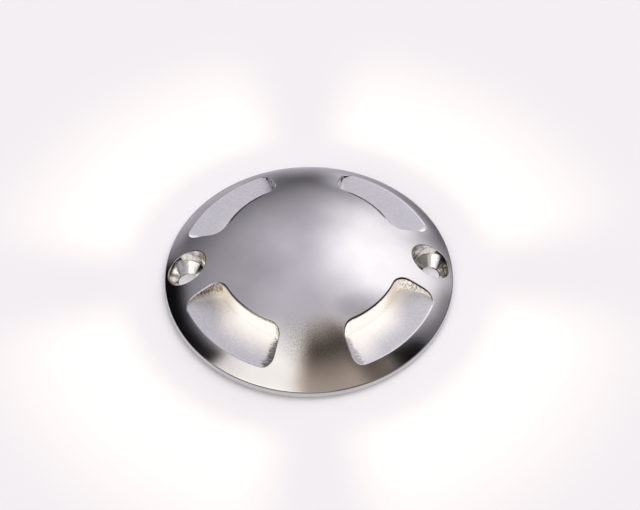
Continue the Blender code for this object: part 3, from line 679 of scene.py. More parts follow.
def socket_screw():
    """Countersunk screw, head down at zero, with its socket and its thread."""
    half = screw_pitch / 2
    head = [
        (socket_radius + fine_edge, 0),
        (cap_screw_head - fine_edge / 2, 0),
        (cap_screw_head, fine_edge / 2),
        (cap_screw_radius, cap_sink),
    ]
    depths = (socket_depth, fine_edge)
    loops = [polygon_at(socket_radius, depth, socket_sides, thread_steps) for depth in depths]
    loops += rings_at(head, thread_steps)
    depth = thread_depth_share * 2 * cap_screw_radius
    loops += thread(cap_screw_radius, depth, screw_pitch, cap_sink + half, cap_screw_length - half)
    loops.append(ring_at(cap_screw_radius - half, cap_screw_length, thread_steps))
    return lofted(loops)


zinc = grained_finish("zinc_steel", (0.70, 0.70, 0.73), 0.27, 1.0, screw_grain, 0.12)
for number, spot in enumerate(cap_screw_spots, 1):
    screw = coated(f"cap_screw_{number}_steel", repeated(socket_screw(), [(number, spot)]), zinc)
    carried(screw, "zinc_steel", f"cap_screw_{number}")

# Cable gland
# Grey nylon gland in the cap's hole: threaded body with a hexagon, lock nut inside, flat washer
# outside, soft seal and a domed nut with grip ribs that squeezes the seal on the cable.

gland_thread = 5.6 * mm
gland_bore = 3.9 * mm
gland_pitch = 1.4 * mm
gland_thread_depth = 0.55 * mm
gland_chamfer_share = 0.5
gland_steps = 96
locknut_low, locknut_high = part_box("gland_locknut")
body_low, body_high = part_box("gland_body")
washer_low, washer_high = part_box("gland_washer")
gland_seal_low, gland_seal_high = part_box("gland_seal")
nut_low, nut_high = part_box("gland_nut")
hexagon_height = 3.2 * mm
collar_radius = 6.0 * mm
collar_pocket = 5.0 * mm
collar_pocket_depth = 4.5 * mm
nut_bore = 3.4 * mm
nut_floor = 1.6 * mm
nut_round = 1.5 * mm
rib_count = 24
rib_reach = 0.22 * mm
nylon_grain = (0.35 * mm, 0.03 * mm)


def hexagon(radius, bottom, top, inner):
    """Loops of a hexagon nut's outside between two inner loops, its corners chamfered."""
    flat = radius * cos(pi / 6)
    return [
        ring_at(inner, bottom, gland_steps),
        ring_at(flat, bottom, gland_steps),
        polygon_at(radius, bottom, 6, gland_steps, -gland_chamfer_share, flat),
        polygon_at(radius, top, 6, gland_steps, gland_chamfer_share, flat),
        ring_at(flat, top, gland_steps),
        ring_at(inner, top, gland_steps),
    ]


nylon_grey = grained_finish("grey_plastic", (0.30, 0.315, 0.335), 0.42, 0.0, nylon_grain, 0.15)
locknut = lofted(hexagon(locknut_high.x, locknut_low.z, locknut_high.z, gland_hole), True)
carried(coated("gland_locknut_nylon", locknut, nylon_grey), "grey_plastic", "gland_locknut")

washer_outline = flat_ring(washer_high.x, washer_low.z, washer_high.z, gland_hole)
washer = turned(rounded(washer_outline, fine_edge))
carried(coated("gland_washer_rubber", washer, rubber), "rubber", "gland_washer")

hexagon_top = washer_low.z - seat_gap
hexagon_bottom = hexagon_top - hexagon_height
pocket_top = body_low.z + collar_pocket_depth
body_loops = [ring_at(gland_bore, pocket_top, gland_steps), ring_at(gland_bore, body_high.z, gland_steps)]
stem_low = hexagon_top + fine_edge
stem = thread(gland_thread, gland_thread_depth, gland_pitch, stem_low, body_high.z, gland_steps)
body_loops += stem[::-1]
body_loops += hexagon(body_high.x, hexagon_bottom, hexagon_top, gland_thread)[::-1][:-1]
collar = thread(collar_radius, gland_thread_depth, gland_pitch, body_low.z, hexagon_bottom, gland_steps)
body_loops += collar[::-1]
body_loops += [ring_at(collar_pocket, height, gland_steps) for height in (body_low.z, pocket_top)]
gland_body = coated("gland_body_nylon", lofted(body_loops, True), nylon_grey)
carried(gland_body, "grey_plastic", "gland_body")

gland_seal_radius = gland_seal_high.x
seal_taper = 0.7 * mm
gland_seal_bore = 3.2 * mm
gland_seal_outline = [
    (gland_seal_bore, gland_seal_low.z),
    (gland_seal_radius - seal_taper, gland_seal_low.z),
    (gland_seal_radius, gland_seal_low.z + seal_taper),
    (gland_seal_radius, gland_seal_high.z),
    (gland_seal_bore, gland_seal_high.z),
]
gland_seal = turned(rounded(gland_seal_outline, fine_edge))
carried(coated("gland_seal_rubber", gland_seal, rubber), "rubber", "gland_seal")

nut_flat = nut_high.x * cos(pi / 6)
nut_inner = collar_radius + seat_gap
nut_loops = rings_at([(nut_inner, nut_low.z + nut_floor), (nut_inner, nut_high.z)], gland_steps)
nut_loops += [
    ring_at(nut_flat, nut_high.z, gland_steps),
    polygon_at(nut_high.x, nut_high.z, 6, gland_steps, gland_chamfer_share, nut_flat),
    polygon_at(nut_high.x, nut_low.z + 2 * nut_round, 6, gland_steps, -gland_chamfer_share, nut_flat),
]
nut_end = [
    (nut_flat - fine_edge, nut_low.z + nut_round),
    (collar_radius + nut_round / 2, nut_low.z + nut_round / 3),
    (collar_radius, nut_low.z),
    (nut_bore + fine_edge, nut_low.z),
    (nut_bore, nut_low.z + fine_edge),
    (nut_bore, nut_low.z + nut_floor),
]
nut_loops += rings_at(nut_end, gland_steps)
gland_nut = coated("gland_nut_nylon", lofted(nut_loops, True), nylon_grey)
carried(gland_nut, "grey_plastic", "gland_nut")

rib_foot = nut_flat - rib_reach
rib_low = nut_low.z + nut_round
rib_section = [(rib_foot, -rib_reach), (nut_flat + rib_reach / 2, 0), (rib_foot, rib_reach)]
rib_levels = ((rib_low, 0), (nut_high.z - 2 * nut_round, 0), (nut_high.z - nut_round, rib_reach))
rib = lofted([[(x - back, y, height) for x, y in rib_section] for height, back in rib_levels])
ribs = worked_out("gland_nut_ribs", mesh_of("rib", rib), around, Count=rib_count, Material=nylon_grey)
carried(ribs, "grey_plastic")

# Board spacer
# White nylon ring between the cap's spigot and the driver board, with relief slots at its top.

spacer_low, spacer_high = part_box("board_spacer")
spacer_wall = 1.7 * mm
spacer_slot_count = 6
spacer_slot_width = 4.0 * mm
spacer_slot_depth = 1.2 * mm
spacer_grain = (0.4 * mm, 0.02 * mm)


def block(size, middle, edge):
    """A block about a middle, its edges rounded."""
    shape = bmesh.new()
    bmesh.ops.create_cube(shape, size=1)
    bmesh.ops.scale(shape, vec=size, verts=shape.verts)
    moved(shape, middle)
    if edge:
        bmesh.ops.bevel(shape, geom=shape.edges[:], offset=edge, segments=2, profile=0.5, affect="EDGES")
    return shape


nylon_white = grained_finish("white_nylon", (0.80, 0.80, 0.77), 0.45, 0.0, spacer_grain, 0.08)
spacer_outline = flat_ring(spacer_high.x, spacer_low.z, spacer_high.z, spacer_high.x - spacer_wall)
spacer = coated("board_spacer_nylon", turned(rounded(spacer_outline, fine_edge)), nylon_white)
slot_size = (2 * spacer_wall + overrun, spacer_slot_width, 2 * spacer_slot_depth)
slot_middle = (spacer_high.x - spacer_wall / 2, 0, spacer_high.z)
slot_spots = [(tau * number / spacer_slot_count, (0, 0, 0)) for number in range(spacer_slot_count)]
cut_by(spacer, repeated(block(slot_size, slot_middle, 0), slot_spots))
carried(spacer, "white_nylon", "board_spacer")

# Driver board
# Round glass-fibre board with a green mask, through which its copper tracks show; a ring of vias stands on
# it.

board_low, board_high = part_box("driver_board")
track_pitch = 1.4 * mm
track_share = 0.35
mask_edge = 0.1 * mm
track_relief = 0.04 * mm
via_count = 16
via_radius = 0.35 * mm
via_circle = 19.4 * mm
via_height = 0.06 * mm
via_steps = 12
wire_sides = 10
solder_grain = (0.2 * mm, 0.02 * mm)
board_outline = flat_ring(board_high.x, board_low.z, board_high.z)
half_board = (board_high.z - board_low.z) / 2

green, green_tree, green_shader = plain_finish("green_board", (0.03, 0.20, 0.09), 0.30, 0)
board_place = place_on(green_tree)
board_x, board_y, board_z = axes_of(green_tree, board_place)
cells = (("Vector", board_place), ("Scale", 1 / (5 * track_pitch)), ("Randomness", 1.0))
patches = joined(green_tree, "ShaderNodeTexVoronoi", cells, feature="F1", distance="MANHATTAN")
lean = calculated(green_tree, "GREATER_THAN", axes_of(green_tree, patches.outputs["Color"])["X"], 0.5)
pattern = calculated(green_tree, "PINGPONG", between(green_tree, lean, board_x, board_y), track_pitch / 2)
half_track = track_share * track_pitch / 2
track = ramp(green_tree, pattern, half_track, half_track + mask_edge, 1, 0)
masked = mixed(green_tree, track, (0.02, 0.14, 0.06), (0.05, 0.30, 0.13))
off_middle = calculated(green_tree, "SUBTRACT", board_z, (board_low.z + board_high.z) / 2)
off_middle = calculated(green_tree, "ABSOLUTE", off_middle)
top_face = ramp(green_tree, off_middle, half_board - mask_edge, half_board)
board_tone = mixed(green_tree, top_face, (0.42, 0.38, 0.22), masked)
green_tree.links.new(board_tone, green_shader.inputs["Base Color"])
linked_bump(green_tree, green_shader, track, track_relief)
driver_board = coated("driver_board_laminate", turned(rounded(board_outline, fine_edge)), green)
carried(driver_board, "green_board", "driver_board")

tin = grained_finish("solder", (0.66, 0.66, 0.68), 0.25, 1.0, solder_grain, 0.15)
via = turned(flat_ring(via_radius, board_high.z, board_high.z + via_height), via_steps)
via_mesh = mesh_of("via", moved(via, (via_circle, 0, 0)))
vias = worked_out("board_vias", via_mesh, around, Count=via_count, Start=pi / via_count, Material=tin)
carried(vias, "green_board")

# Wire: a round wire or winding along a path
wire, wire_in = geometry_tree("wire", (("Radius", "Float"),))
line = joined(wire, "GeometryNodeMeshToCurve", (("Mesh", wire_in.outputs["Geometry"]),)).outputs[0]
round_section = (("Resolution", wire_sides), ("Radius", wire_in.outputs["Radius"]))
section = joined(wire, "GeometryNodeCurvePrimitiveCircle", round_section).outputs[0]
swept = (("Curve", line), ("Profile Curve", section), ("Fill Caps", True))
tube = joined(wire, "GeometryNodeCurveToMesh", swept).outputs[0]
ended(wire, wire_in, joined(wire, "GeometryNodeSetShadeSmooth", (("Geometry", tube),)).outputs[0])


def path_mesh(name, points, loop=False):
    """A mesh that is only a line of edges through points."""
    edges = [(step, step + 1) for step in range(len(points) - 1)]
    if loop:
        edges.append((len(points) - 1, 0))
    mesh = bpy.data.meshes.new(name)
    mesh.from_pydata(points, edges, [])
    return mesh


# Inductor
# Ring core with one layer of enamelled copper wire, wound as one closed coil.

inductor_low, inductor_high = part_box("inductor")
inductor_middle = (inductor_low + inductor_high) / 2
inductor_reach = (inductor_high.x - inductor_low.x) / 2
winding_radius = (inductor_high.z - inductor_low.z) / 2
core_circle = inductor_reach - winding_radius
wire_radius = 0.36 * mm
winding_turns = 22
winding_points = 16
ferrite_grain = (0.2 * mm, 0.03 * mm)
copper_grain = (0.3 * mm, 0.01 * mm)
core_radius = winding_radius - 2.4 * wire_radius
core_sides = 12
core_steps = 64


def winding():
    """Points of one closed coil that runs round the core."""
    points = []
    count = winding_turns * winding_points
    reach = winding_radius - wire_radius
    for step in range(count):
        turn = tau * step / count
        roll = tau * step / winding_points
        out = core_circle + reach * cos(roll)
        lift = reach * sin(roll)
        points.append(inductor_middle + Vector((out * cos(turn), out * sin(turn), lift)))
    return points


copper = grained_finish("copper_enamel", (0.62, 0.27, 0.10), 0.22, 1.0, copper_grain, 0.2)
ferrite = grained_finish("ferrite", (0.05, 0.055, 0.06), 0.55, 0.0, ferrite_grain, 0.3)
winding_path = path_mesh("winding", winding(), True)
coil = worked_out("inductor_winding", winding_path, wire, Radius=wire_radius, Material=copper)
carried(coil, "winding", "inductor")
core_turns = [tau * (side + 0.5) / core_sides for side in range(core_sides)]
core_outline = [(core_circle + core_radius * cos(turn), core_radius * sin(turn)) for turn in core_turns]
core = turned(core_outline, core_steps)
carried(coated("inductor_core", moved(core, inductor_middle), ferrite), "winding")

# Capacitors
# Two electrolytic cans in a printed sleeve with a pale stripe, crimped above the foot; the bare
# top has its cross of relief grooves.

can_groove = 0.35 * mm
can_crimp = 2.0 * mm
can_top_ring = 0.7 * mm
stripe_half = radians(20)
stripe_fade = radians(3)
dash_pitch = 1.2 * mm
dash_ends = (0.7 * mm, 0.8 * mm)
dash_sides = (radians(7), radians(9))
can_steps = 64
lid_steps = 48
vent_width = 0.25 * mm
vent_height = 0.05 * mm
can_grain = (0.3 * mm, 0.01 * mm)


def can_outline(radius, height):
    """Foot, crimp, wall and the rounded top of a can."""
    return [
        (0, 0),
        (radius, 0),
        (radius, can_crimp - can_groove),
        (radius - can_groove, can_crimp),
        (radius, can_crimp + can_groove),
        (radius, height),
        (radius - can_top_ring, height),
        (radius - can_top_ring, height - 2 * vent_height),
        (0, height - 2 * vent_height),
    ]


def sleeve_finish(name, middle):
    """Shrunk sleeve with a pale stripe down one side."""
    surface, tree, shader = plain_finish(name, (0.02, 0.025, 0.06), 0.25, 0)
    place = place_on(tree)
    x, y, z = axes_of(tree, vectors(tree, "SUBTRACT", place, middle).outputs[0])
    off = calculated(tree, "ABSOLUTE", calculated(tree, "ARCTAN2", y, x))
    stripe = ramp(tree, off, stripe_half, stripe_half + stripe_fade, 1, 0)
    dash = ramp(tree, calculated(tree, "PINGPONG", z, dash_pitch), *dash_ends)
    dash = product(tree, dash, ramp(tree, off, *dash_sides, 1, 0))
    pale_stripe = mixed(tree, dash, (0.55, 0.57, 0.62), (0.05, 0.06, 0.10))
    tree.links.new(mixed(tree, stripe, (0.02, 0.025, 0.06), pale_stripe), shader.inputs["Base Color"])
    return surface


can_metal = grained_finish("can_aluminium", (0.75, 0.75, 0.77), 0.25, 1.0, can_grain, 0.1)
for number in (1, 2):
    node = f"capacitor_{number}"
    low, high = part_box(node)
    middle = (low + high) / 2
    radius = (high.y - low.y) / 2
    foot = Vector((middle.x, middle.y, low.z))
    can = moved(turned(rounded(can_outline(radius, high.z - low.z), can_groove), can_steps), foot)
    item = coated(f"{node}_can", can, sleeve_finish(f"{node}_sleeve", foot))
    carried(item, "capacitor_sleeve", node)
    lid_low = high.z - 3 * vent_height
    lid_outline = flat_ring(radius - can_top_ring, lid_low, lid_low + vent_height)
    lid = moved(turned(lid_outline, lid_steps), (middle.x, middle.y, vent_height / 2))
    carried(coated(f"{node}_top", lid, can_metal), "capacitor_sleeve")
    arm_size = ((radius - can_top_ring) * 0.8, vent_width, vent_height)
    arm_middle = (arm_size[0] / 2, 0, high.z - vent_height)
    arm = mesh_of("vent_arm", block(arm_size, arm_middle, 0))
    centre = (middle.x, middle.y, 0)
    vents = worked_out(f"{node}_vent", arm, around, Count=4, Centre=centre, Material=can_metal)
    carried(vents, "capacitor_sleeve")

# Rectifier and driver chip
# Two moulded resin packages with tinned legs bent down to the board and a dimple at their first
# pin.

leg_width = 0.5 * mm
leg_thickness = 0.2 * mm
leg_reach = 0.9 * mm
dimple_radius = 0.35 * mm
dimple_steps = 24
package_edge = 0.12 * mm
resin_grain = (0.15 * mm, 0.03 * mm)
resin = grained_finish("chip_resin", (0.03, 0.03, 0.032), 0.5, 0.0, resin_grain, 0.25)


def legs(low, high, count):
    """Rows of legs at both long sides of a package: out, down and out again on the board."""
    rows = bmesh.new()
    pitch = (high.x - low.x) / count
    middle_height = (low.z + high.z) / 2
    foot = board_high.z + leg_thickness / 2 + via_height
    for side, wall in ((-1, low.y), (1, high.y)):
        for number in range(count):
            x = low.x + pitch * (number + 0.5)
            stretches = (
                ((wall, middle_height), (wall + side * leg_reach / 2, middle_height)),
                ((wall + side * leg_reach / 2, middle_height), (wall + side * leg_reach / 2, foot)),
                ((wall + side * leg_reach / 2, foot), (wall + side * leg_reach, foot)),
            )
            for (y0, z0), (y1, z1) in stretches:
                size = (leg_width, abs(y1 - y0) + leg_thickness, abs(z1 - z0) + leg_thickness)
                part = block(size, (x, (y0 + y1) / 2, (z0 + z1) / 2), 0)
                mesh = bpy.data.meshes.new("leg")
                part.to_mesh(mesh)
                part.free()
                rows.from_mesh(mesh)
                bpy.data.meshes.remove(mesh)
    return rows


for node, count in (("rectifier", 2), ("driver_chip", 4)):
    low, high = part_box(node)
    package = coated(f"{node}_package", block(high - low, (low + high) / 2, package_edge), resin)
    dimple = ring_at(dimple_radius, 0, dimple_steps)
    spot = Vector((low.x + 3 * dimple_radius, low.y + 3 * dimple_radius, high.z))
    depths = [Vector((0, 0, lift)) for lift in (-package_edge, package_edge)]
    cut_by(package, lofted([[spot + point + depth for point in dimple] for depth in depths]))
    carried(package, "chip_resin", node)
    carried(coated(f"{node}_legs", legs(low, high, count), tin), "chip_resin")

# Terminal block
# Grey moulded block under the board, where the supply's two cores are clamped: funnelled wire
# holes in its foot and two slotted screws in their pockets at the side.

terminal_low, terminal_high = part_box("terminal_block")
wire_hole = 1.5 * mm
wire_hole_depth = 6.5 * mm
wire_funnel = 0.5 * mm
terminal_edge = 0.3 * mm
terminal_screw_gap = 0.3 * mm
slot_width = 0.5 * mm
slot_depth = 0.6 * mm
terminal_middle = (terminal_low + terminal_high) / 2


def lying(shape, place):
    """Turn a shape's +Z to +Y and move it."""
    bmesh.ops.rotate(shape, matrix=Matrix.Rotation(-pi / 2, 3, "X"), verts=shape.verts)
    return moved(shape, place)


moulding = block(terminal_high - terminal_low, terminal_middle, terminal_edge)
terminal = coated("terminal_block_moulding", moulding, nylon_grey)
for number in (1, 2):
    low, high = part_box(f"terminal_screw_{number}")
    middle = (low + high) / 2
    radius = (high.z - low.z) / 2
    funnel = [
        (0, -overrun),
        (wire_hole + wire_funnel + overrun, -overrun),
        (wire_hole, wire_funnel),
        (wire_hole, wire_hole_depth),
        (0, wire_hole_depth),
    ]
    cut_by(terminal, round_hole(funnel, [Vector((middle.x, 0, terminal_low.z))]))
    pocket_radius = radius + terminal_screw_gap
    pocket_depth = high.y - low.y + terminal_screw_gap
    pocket = turned(flat_ring(pocket_radius, -overrun, pocket_depth), hole_steps)
    cut_by(terminal, lying(pocket, (middle.x, low.y, middle.z)))
    head = turned(rounded(flat_ring(radius, 0, high.y - low.y), fine_edge), hole_steps)
    screw = coated(f"terminal_screw_{number}_steel", lying(head, (middle.x, low.y, middle.z)), zinc)
    slot_tool = block((2 * pocket_radius, 2 * slot_depth, slot_width), (middle.x, low.y, middle.z), 0)
    cut_by(screw, slot_tool)
    carried(screw, "zinc_steel", f"terminal_screw_{number}")
carried(terminal, "grey_plastic", "terminal_block")

# Leads
# Two insulated wires from the driver board up through the deck and over on to the lamp board,
# with a stripped, tinned end at the lamps.

lead_radius = 0.6 * mm
lead_bend = 1.8 * mm
lead_spread = 3.0 * mm
lead_circle = 16.7 * mm
lead_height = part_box("led_board")[1].z + seat_gap + lead_radius
bare_radius = 0.35 * mm
bare_length = 0.5 * mm
lead_grain = (0.3 * mm, 0.01 * mm)
lead_bend_steps = 12
for node, colour in (("lead_positive", (0.55, 0.03, 0.02)), ("lead_negative", (0.03, 0.03, 0.03))):
    low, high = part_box(node)
    x = (low.x + high.x) / 2
    rising = [Vector((x, lead_circle, low.z)), Vector((x, lead_circle, lead_height - lead_bend))]
    turns = [pi / 2 * step / lead_bend_steps for step in range(1, lead_bend_steps + 1)]
    rising += [
        Vector((x, lead_circle - lead_bend * (1 - cos(turn)), lead_height - lead_bend * (1 - sin(turn))))
        for turn in turns
    ]
    end = Vector((x, low.y, lead_height))
    insulation = grained_finish(f"{node}_insulation", colour, 0.35, 0.0, lead_grain, 0.15)
    line = path_mesh(node, [*rising, end + Vector((0, bare_length, 0))])
    lead = worked_out(f"{node}_wire", line, wire, Radius=lead_radius, Material=insulation)
    slot_name = "red_insulation" if node == "lead_positive" else "black_insulation"
    carried(lead, slot_name, node)
    core_line = path_mesh("core", [end + Vector((0, bare_length + lead_radius, 0)), end])
    carried(worked_out(f"{node}_core", core_line, wire, Radius=bare_radius, Material=tin), slot_name)

# Housing
# Turned aluminium pot that hangs from the cover: a neck with the seal's groove and a cut thread,
# four cooling grooves, a well for the lamp and, below its deck, the driver's room.

housing_low, housing_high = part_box("housing")
neck_radius = 25.0 * mm
neck_height = 6.7 * mm
lamp_well_radius = 21.1 * mm
lamp_well = 2.4 * mm
deck_thickness = 3.0 * mm
upper_room_radius = 20.2 * mm
upper_room = 23.0 * mm
groove_count = 4
groove_width = 2.6 * mm
groove_pitch = 7.6 * mm
groove_depth = 1.0 * mm
first_groove = 4.0 * mm
neck_seal_drop = 2.4 * mm
neck_pitch = 0.7 * mm
neck_thread_depth = 0.3 * mm
housing_edge = 0.2 * mm
board_screw_radius = 1.0 * mm
board_screw_circle = 16.2 * mm
lead_hole = 1.2 * mm
neck_top = housing_high.z
neck_bottom = neck_top - neck_height
deck_top = neck_top - lamp_well
deck_bottom = deck_top - deck_thickness
ledge = deck_bottom - upper_room
neck_seal_middle = neck_top - neck_seal_drop
spigot_inner = neck_radius + seat_gap


def neck_outline():
    """Seal groove and thread down the neck."""
    bed = neck_radius + 2 * seal_bed - spigot_inner
    outline = [
        (neck_radius, neck_top),
        (neck_radius, neck_seal_middle + seal_bed),
        (neck_radius - bed, neck_seal_middle + seal_bed),
        (neck_radius - bed, neck_seal_middle - seal_bed),
        (neck_radius, neck_seal_middle - seal_bed),
    ]
    height = neck_seal_middle - seal_bed - neck_pitch / 2
    while height > neck_bottom + neck_pitch:
        outline.append((neck_radius, height))
        outline.append((neck_radius - neck_thread_depth, height - neck_pitch / 2))
        height -= neck_pitch
    return outline + [(neck_radius - neck_thread_depth, neck_bottom)]


def housing_outline():
    """The well, the neck, the grooved wall and the two rooms."""
    outline = [(0, deck_top), (lamp_well_radius, deck_top), (lamp_well_radius, neck_top)]
    outline += neck_outline()
    outline.append((housing_radius, neck_bottom))
    for number in range(groove_count):
        upper = neck_bottom - first_groove - number * groove_pitch
        lower = upper - groove_width
        bed = housing_radius - groove_depth
        outline += [(housing_radius, upper), (bed, upper), (bed, lower), (housing_radius, lower)]
    outline += [
        (housing_radius, housing_low.z),
        (housing_room, housing_low.z),
        (housing_room, ledge),
        (upper_room_radius, ledge),
        (upper_room_radius, deck_bottom),
        (0, deck_bottom),
    ]
    return outline


def straight_holes(radius, spots, bottom, top):
    """Tools for plain holes at several places, between two heights."""
    return round_hole(flat_ring(radius, bottom, top), spots)


board_screw_spots = ring_at(board_screw_circle, 0, 2)
lead_spots = [Vector((side * lead_spread, lead_circle, 0)) for side in (-1, 1)]
through_holes = ((board_screw_radius + seat_gap, board_screw_spots), (lead_hole, lead_spots))
housing = coated("housing_turned", turned(rounded(housing_outline(), housing_edge)), aluminium)
for radius, spots in through_holes:
    cut_by(housing, straight_holes(radius, spots, deck_bottom - overrun, deck_top + overrun))
cut_by(housing, round_hole(cap_hole_outline, cap_screw_spots))
carried(housing, "bare_aluminium", "housing")
neck_seal = seal_ring(spigot_inner, neck_seal_middle)
carried(coated("housing_seal_cord", neck_seal, rubber), "rubber", "housing_seal")

# Lamp
# Grey thermal pad on the deck, the white lamp board with its bare lands and vias, four lamps with
# a yellow face under a clear dome, and two slotted screws.

pad_low, pad_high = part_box("thermal_pad")
led_board_low, led_board_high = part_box("led_board")
led_low, led_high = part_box("led_1")
led_size = 3.5 * mm
led_base = 0.7 * mm
led_dome = 1.4 * mm
led_dome_steps = 8
led_face = 1.25 * mm
led_count = 4
led_circle = 7.88 * mm
led_land = 0.9 * mm
led_land_height = 0.05 * mm
board_screw_head = 2.0 * mm
board_screw_head_height = 1.3 * mm
lamp_via_count = 36
lamp_via_circle = 11.5 * mm
phosphor_grain = (0.08 * mm, 0.02 * mm)
ceramic_grain = (0.2 * mm, 0.01 * mm)
land_grain = (0.2 * mm, 0.01 * mm)
mask_grain = (0.5 * mm, 0.01 * mm)
pad_grain = (0.6 * mm, 0.04 * mm)
silicone = grained_finish("grey_silicone", (0.42, 0.44, 0.48), 0.65, 0.0, pad_grain, 0.12)
white_mask = grained_finish("white_mask", (0.86, 0.86, 0.84), 0.35, 0.0, mask_grain, 0.04)
gold = grained_finish("gold_land", (0.83, 0.62, 0.28), 0.25, 1.0, land_grain, 0.1)
for name, low, high, finish, slot_name, node in (
    ("thermal_pad_silicone", pad_low, pad_high, silicone, "silicone", "thermal_pad"),
    ("led_board_laminate", led_board_low, led_board_high, white_mask, "white_board", "led_board"),
):
    disc = coated(name, turned(rounded(flat_ring(high.x, low.z, high.z), fine_edge)), finish)
    for radius, spots in through_holes:
        cut_by(disc, straight_holes(radius, spots, low.z - overrun, high.z + overrun))
    carried(disc, slot_name, node)

lamp_via_outline = flat_ring(via_radius, led_board_high.z, led_board_high.z + led_land_height)
lamp_via = turned(lamp_via_outline, via_steps)
lamp_via_mesh = mesh_of("lamp_via", moved(lamp_via, (lamp_via_circle, 0, 0)))
lamp_vias = worked_out("lamp_vias", lamp_via_mesh, around, Count=lamp_via_count, Material=gold)
carried(lamp_vias, "white_board")

land_height = led_board_high.z + led_land_height / 2
land_size = (led_land, led_size, led_land_height)
lands = bmesh.new()
for side in (-1, 1):
    land_middle = (led_circle + side * (led_size + led_land) / 2, 0, land_height)
    lands.from_mesh(mesh_of("land", block(land_size, land_middle, 0)))
lamp_lands = worked_out(
    "lamp_lands", mesh_of("lands", lands), around, Count=led_count, Start=pi / led_count, Material=gold
)
carried(lamp_lands, "white_board")

ceramic = grained_finish("led_ceramic", (0.88, 0.87, 0.84), 0.4, 0.0, ceramic_grain, 0.05)
phosphor = grained_finish("led_phosphor", (0.95, 0.74, 0.16), 0.45, 0.0, phosphor_grain, 0.12)
clear_dome, _, clear_shader = plain_finish("led_clear_dome", (1, 0.97, 0.85), 0.05, 0)
clear_shader.inputs["Transmission Weight"].default_value = 1
clear_shader.inputs["IOR"].default_value = 1.41
base_top = led_low.z + led_base
for number in range(led_count):
    turn = tau * (number + 0.5) / led_count
    node = f"led_{number + 1}"
    place = (led_circle * cos(turn), led_circle * sin(turn), 0)
    base = block((led_size, led_size, led_base), (0, 0, led_low.z + led_base / 2), fine_edge)
    carried(coated(f"{node}_base", repeated(base, [(turn, place)]), ceramic), "led_resin", node)
    face_outline = flat_ring(led_face, base_top, base_top + led_land_height)
    face = repeated(turned(face_outline, hole_steps), [(turn, place)])
    carried(coated(f"{node}_face", face, phosphor), "led_resin")
    dome_low = base_top + 2 * led_land_height
    dome_outline = [(0, dome_low)]
    for step in range(led_dome_steps):
        lift = pi / 2 * step / led_dome_steps
        dome_outline.append((led_dome * cos(lift), dome_low + (led_high.z - dome_low) * sin(lift)))
    dome_outline.append((0, led_high.z))
    dome = repeated(turned(dome_outline, hole_steps), [(turn, place)])
    carried(coated(f"{node}_dome", dome, clear_dome), "led_resin")

for number, spot in enumerate(board_screw_spots, 1):
    node = f"board_screw_{number}"
    low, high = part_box(node)
    seat = high.z - board_screw_head_height
    head = [
        (board_screw_head - fine_edge, high.z),
        (board_screw_head, high.z - fine_edge),
        (board_screw_head, seat + fine_edge),
        (board_screw_head - fine_edge, seat),
    ]
    head_loops = rings_at(head, thread_steps)
    depth = thread_depth_share * 2 * board_screw_radius
    shank = thread(board_screw_radius, depth, screw_pitch, low.z + fine_edge, seat)
    head_loops += shank[::-1]
    head_loops.append(ring_at(board_screw_radius - 2 * fine_edge, low.z, thread_steps))
    screw = coated(f"{node}_steel", moved(lofted(head_loops), spot), zinc)
    slot_tool = block((3 * board_screw_head, slot_width, 2 * slot_width), (0, 0, high.z), 0)
    cut_by(screw, repeated(slot_tool, [(number, spot)]))
    carried(screw, "zinc_steel", node)

# Deflector
# Bright mirror that hangs point down over the lamps: four hollow faces that turn the light out
# through the windows, with a boss that holds it under the lens's crown.

deflector_low, deflector_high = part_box("deflector")
deflector_tip = 0.6 * mm
deflector_curve = 1.7
deflector_hollow = 0.14
deflector_rings = 28
deflector_steps = 64
deflector_boss = 4.0 * mm
deflector_rim = 0.2 * mm
mirror_grain = (0.5 * mm, 0.002 * mm)
cover_radius = 37.5 * mm
rim_height = 1.8 * mm
dome_rise = 13.5 * mm
crown_wall = 2.7 * mm
ceiling_rings = 12
lip_thickness = 0.8 * mm
bore_radius = 23.9 * mm
lens_radius = 23.4 * mm
lens_wall = 2.0 * mm
dome_top = rim_height + dome_rise
sphere_radius = (cover_radius**2 + dome_rise**2) / (2 * dome_rise)
sphere_centre = dome_top - sphere_radius
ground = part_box("cover")[1].z - dome_top


def dome_height(radius):
    """Height of the dome's surface above the ground."""
    return sphere_centre + sqrt(sphere_radius**2 - radius**2)


def ceiling(edge, drop=0):
    """Underside of the dome over the lens, from an edge to the axis."""
    ceiling_edge = dome_height(bore_radius) - lip_thickness
    ceiling_top = dome_top - crown_wall
    points = []
    for ring in range(ceiling_rings + 1):
        share = 1 - ring / ceiling_rings
        height = ceiling_top + (ceiling_edge - ceiling_top) * (share * edge / bore_radius) ** 2
        points.append((share * edge, height - drop))
    return points


plate_height = ground + ceiling(lens_radius - lens_wall, seat_gap + lens_wall)[0][1] - seat_gap


def mirror_loop(radius, height, hollow):
    """A square loop with corners on the axes' diagonals, its sides drawn in."""
    loop = []
    for step in range(deflector_steps):
        turn = tau * step / deflector_steps
        off_flat = (turn + pi / 4) % (pi / 2) - pi / 4
        reach = radius * cos(pi / 4) / cos(pi / 4 - abs(off_flat))
        reach *= 1 - hollow * sin(2 * abs(off_flat)) ** 2
        loop.append((reach * cos(turn), reach * sin(turn), height))
    return loop


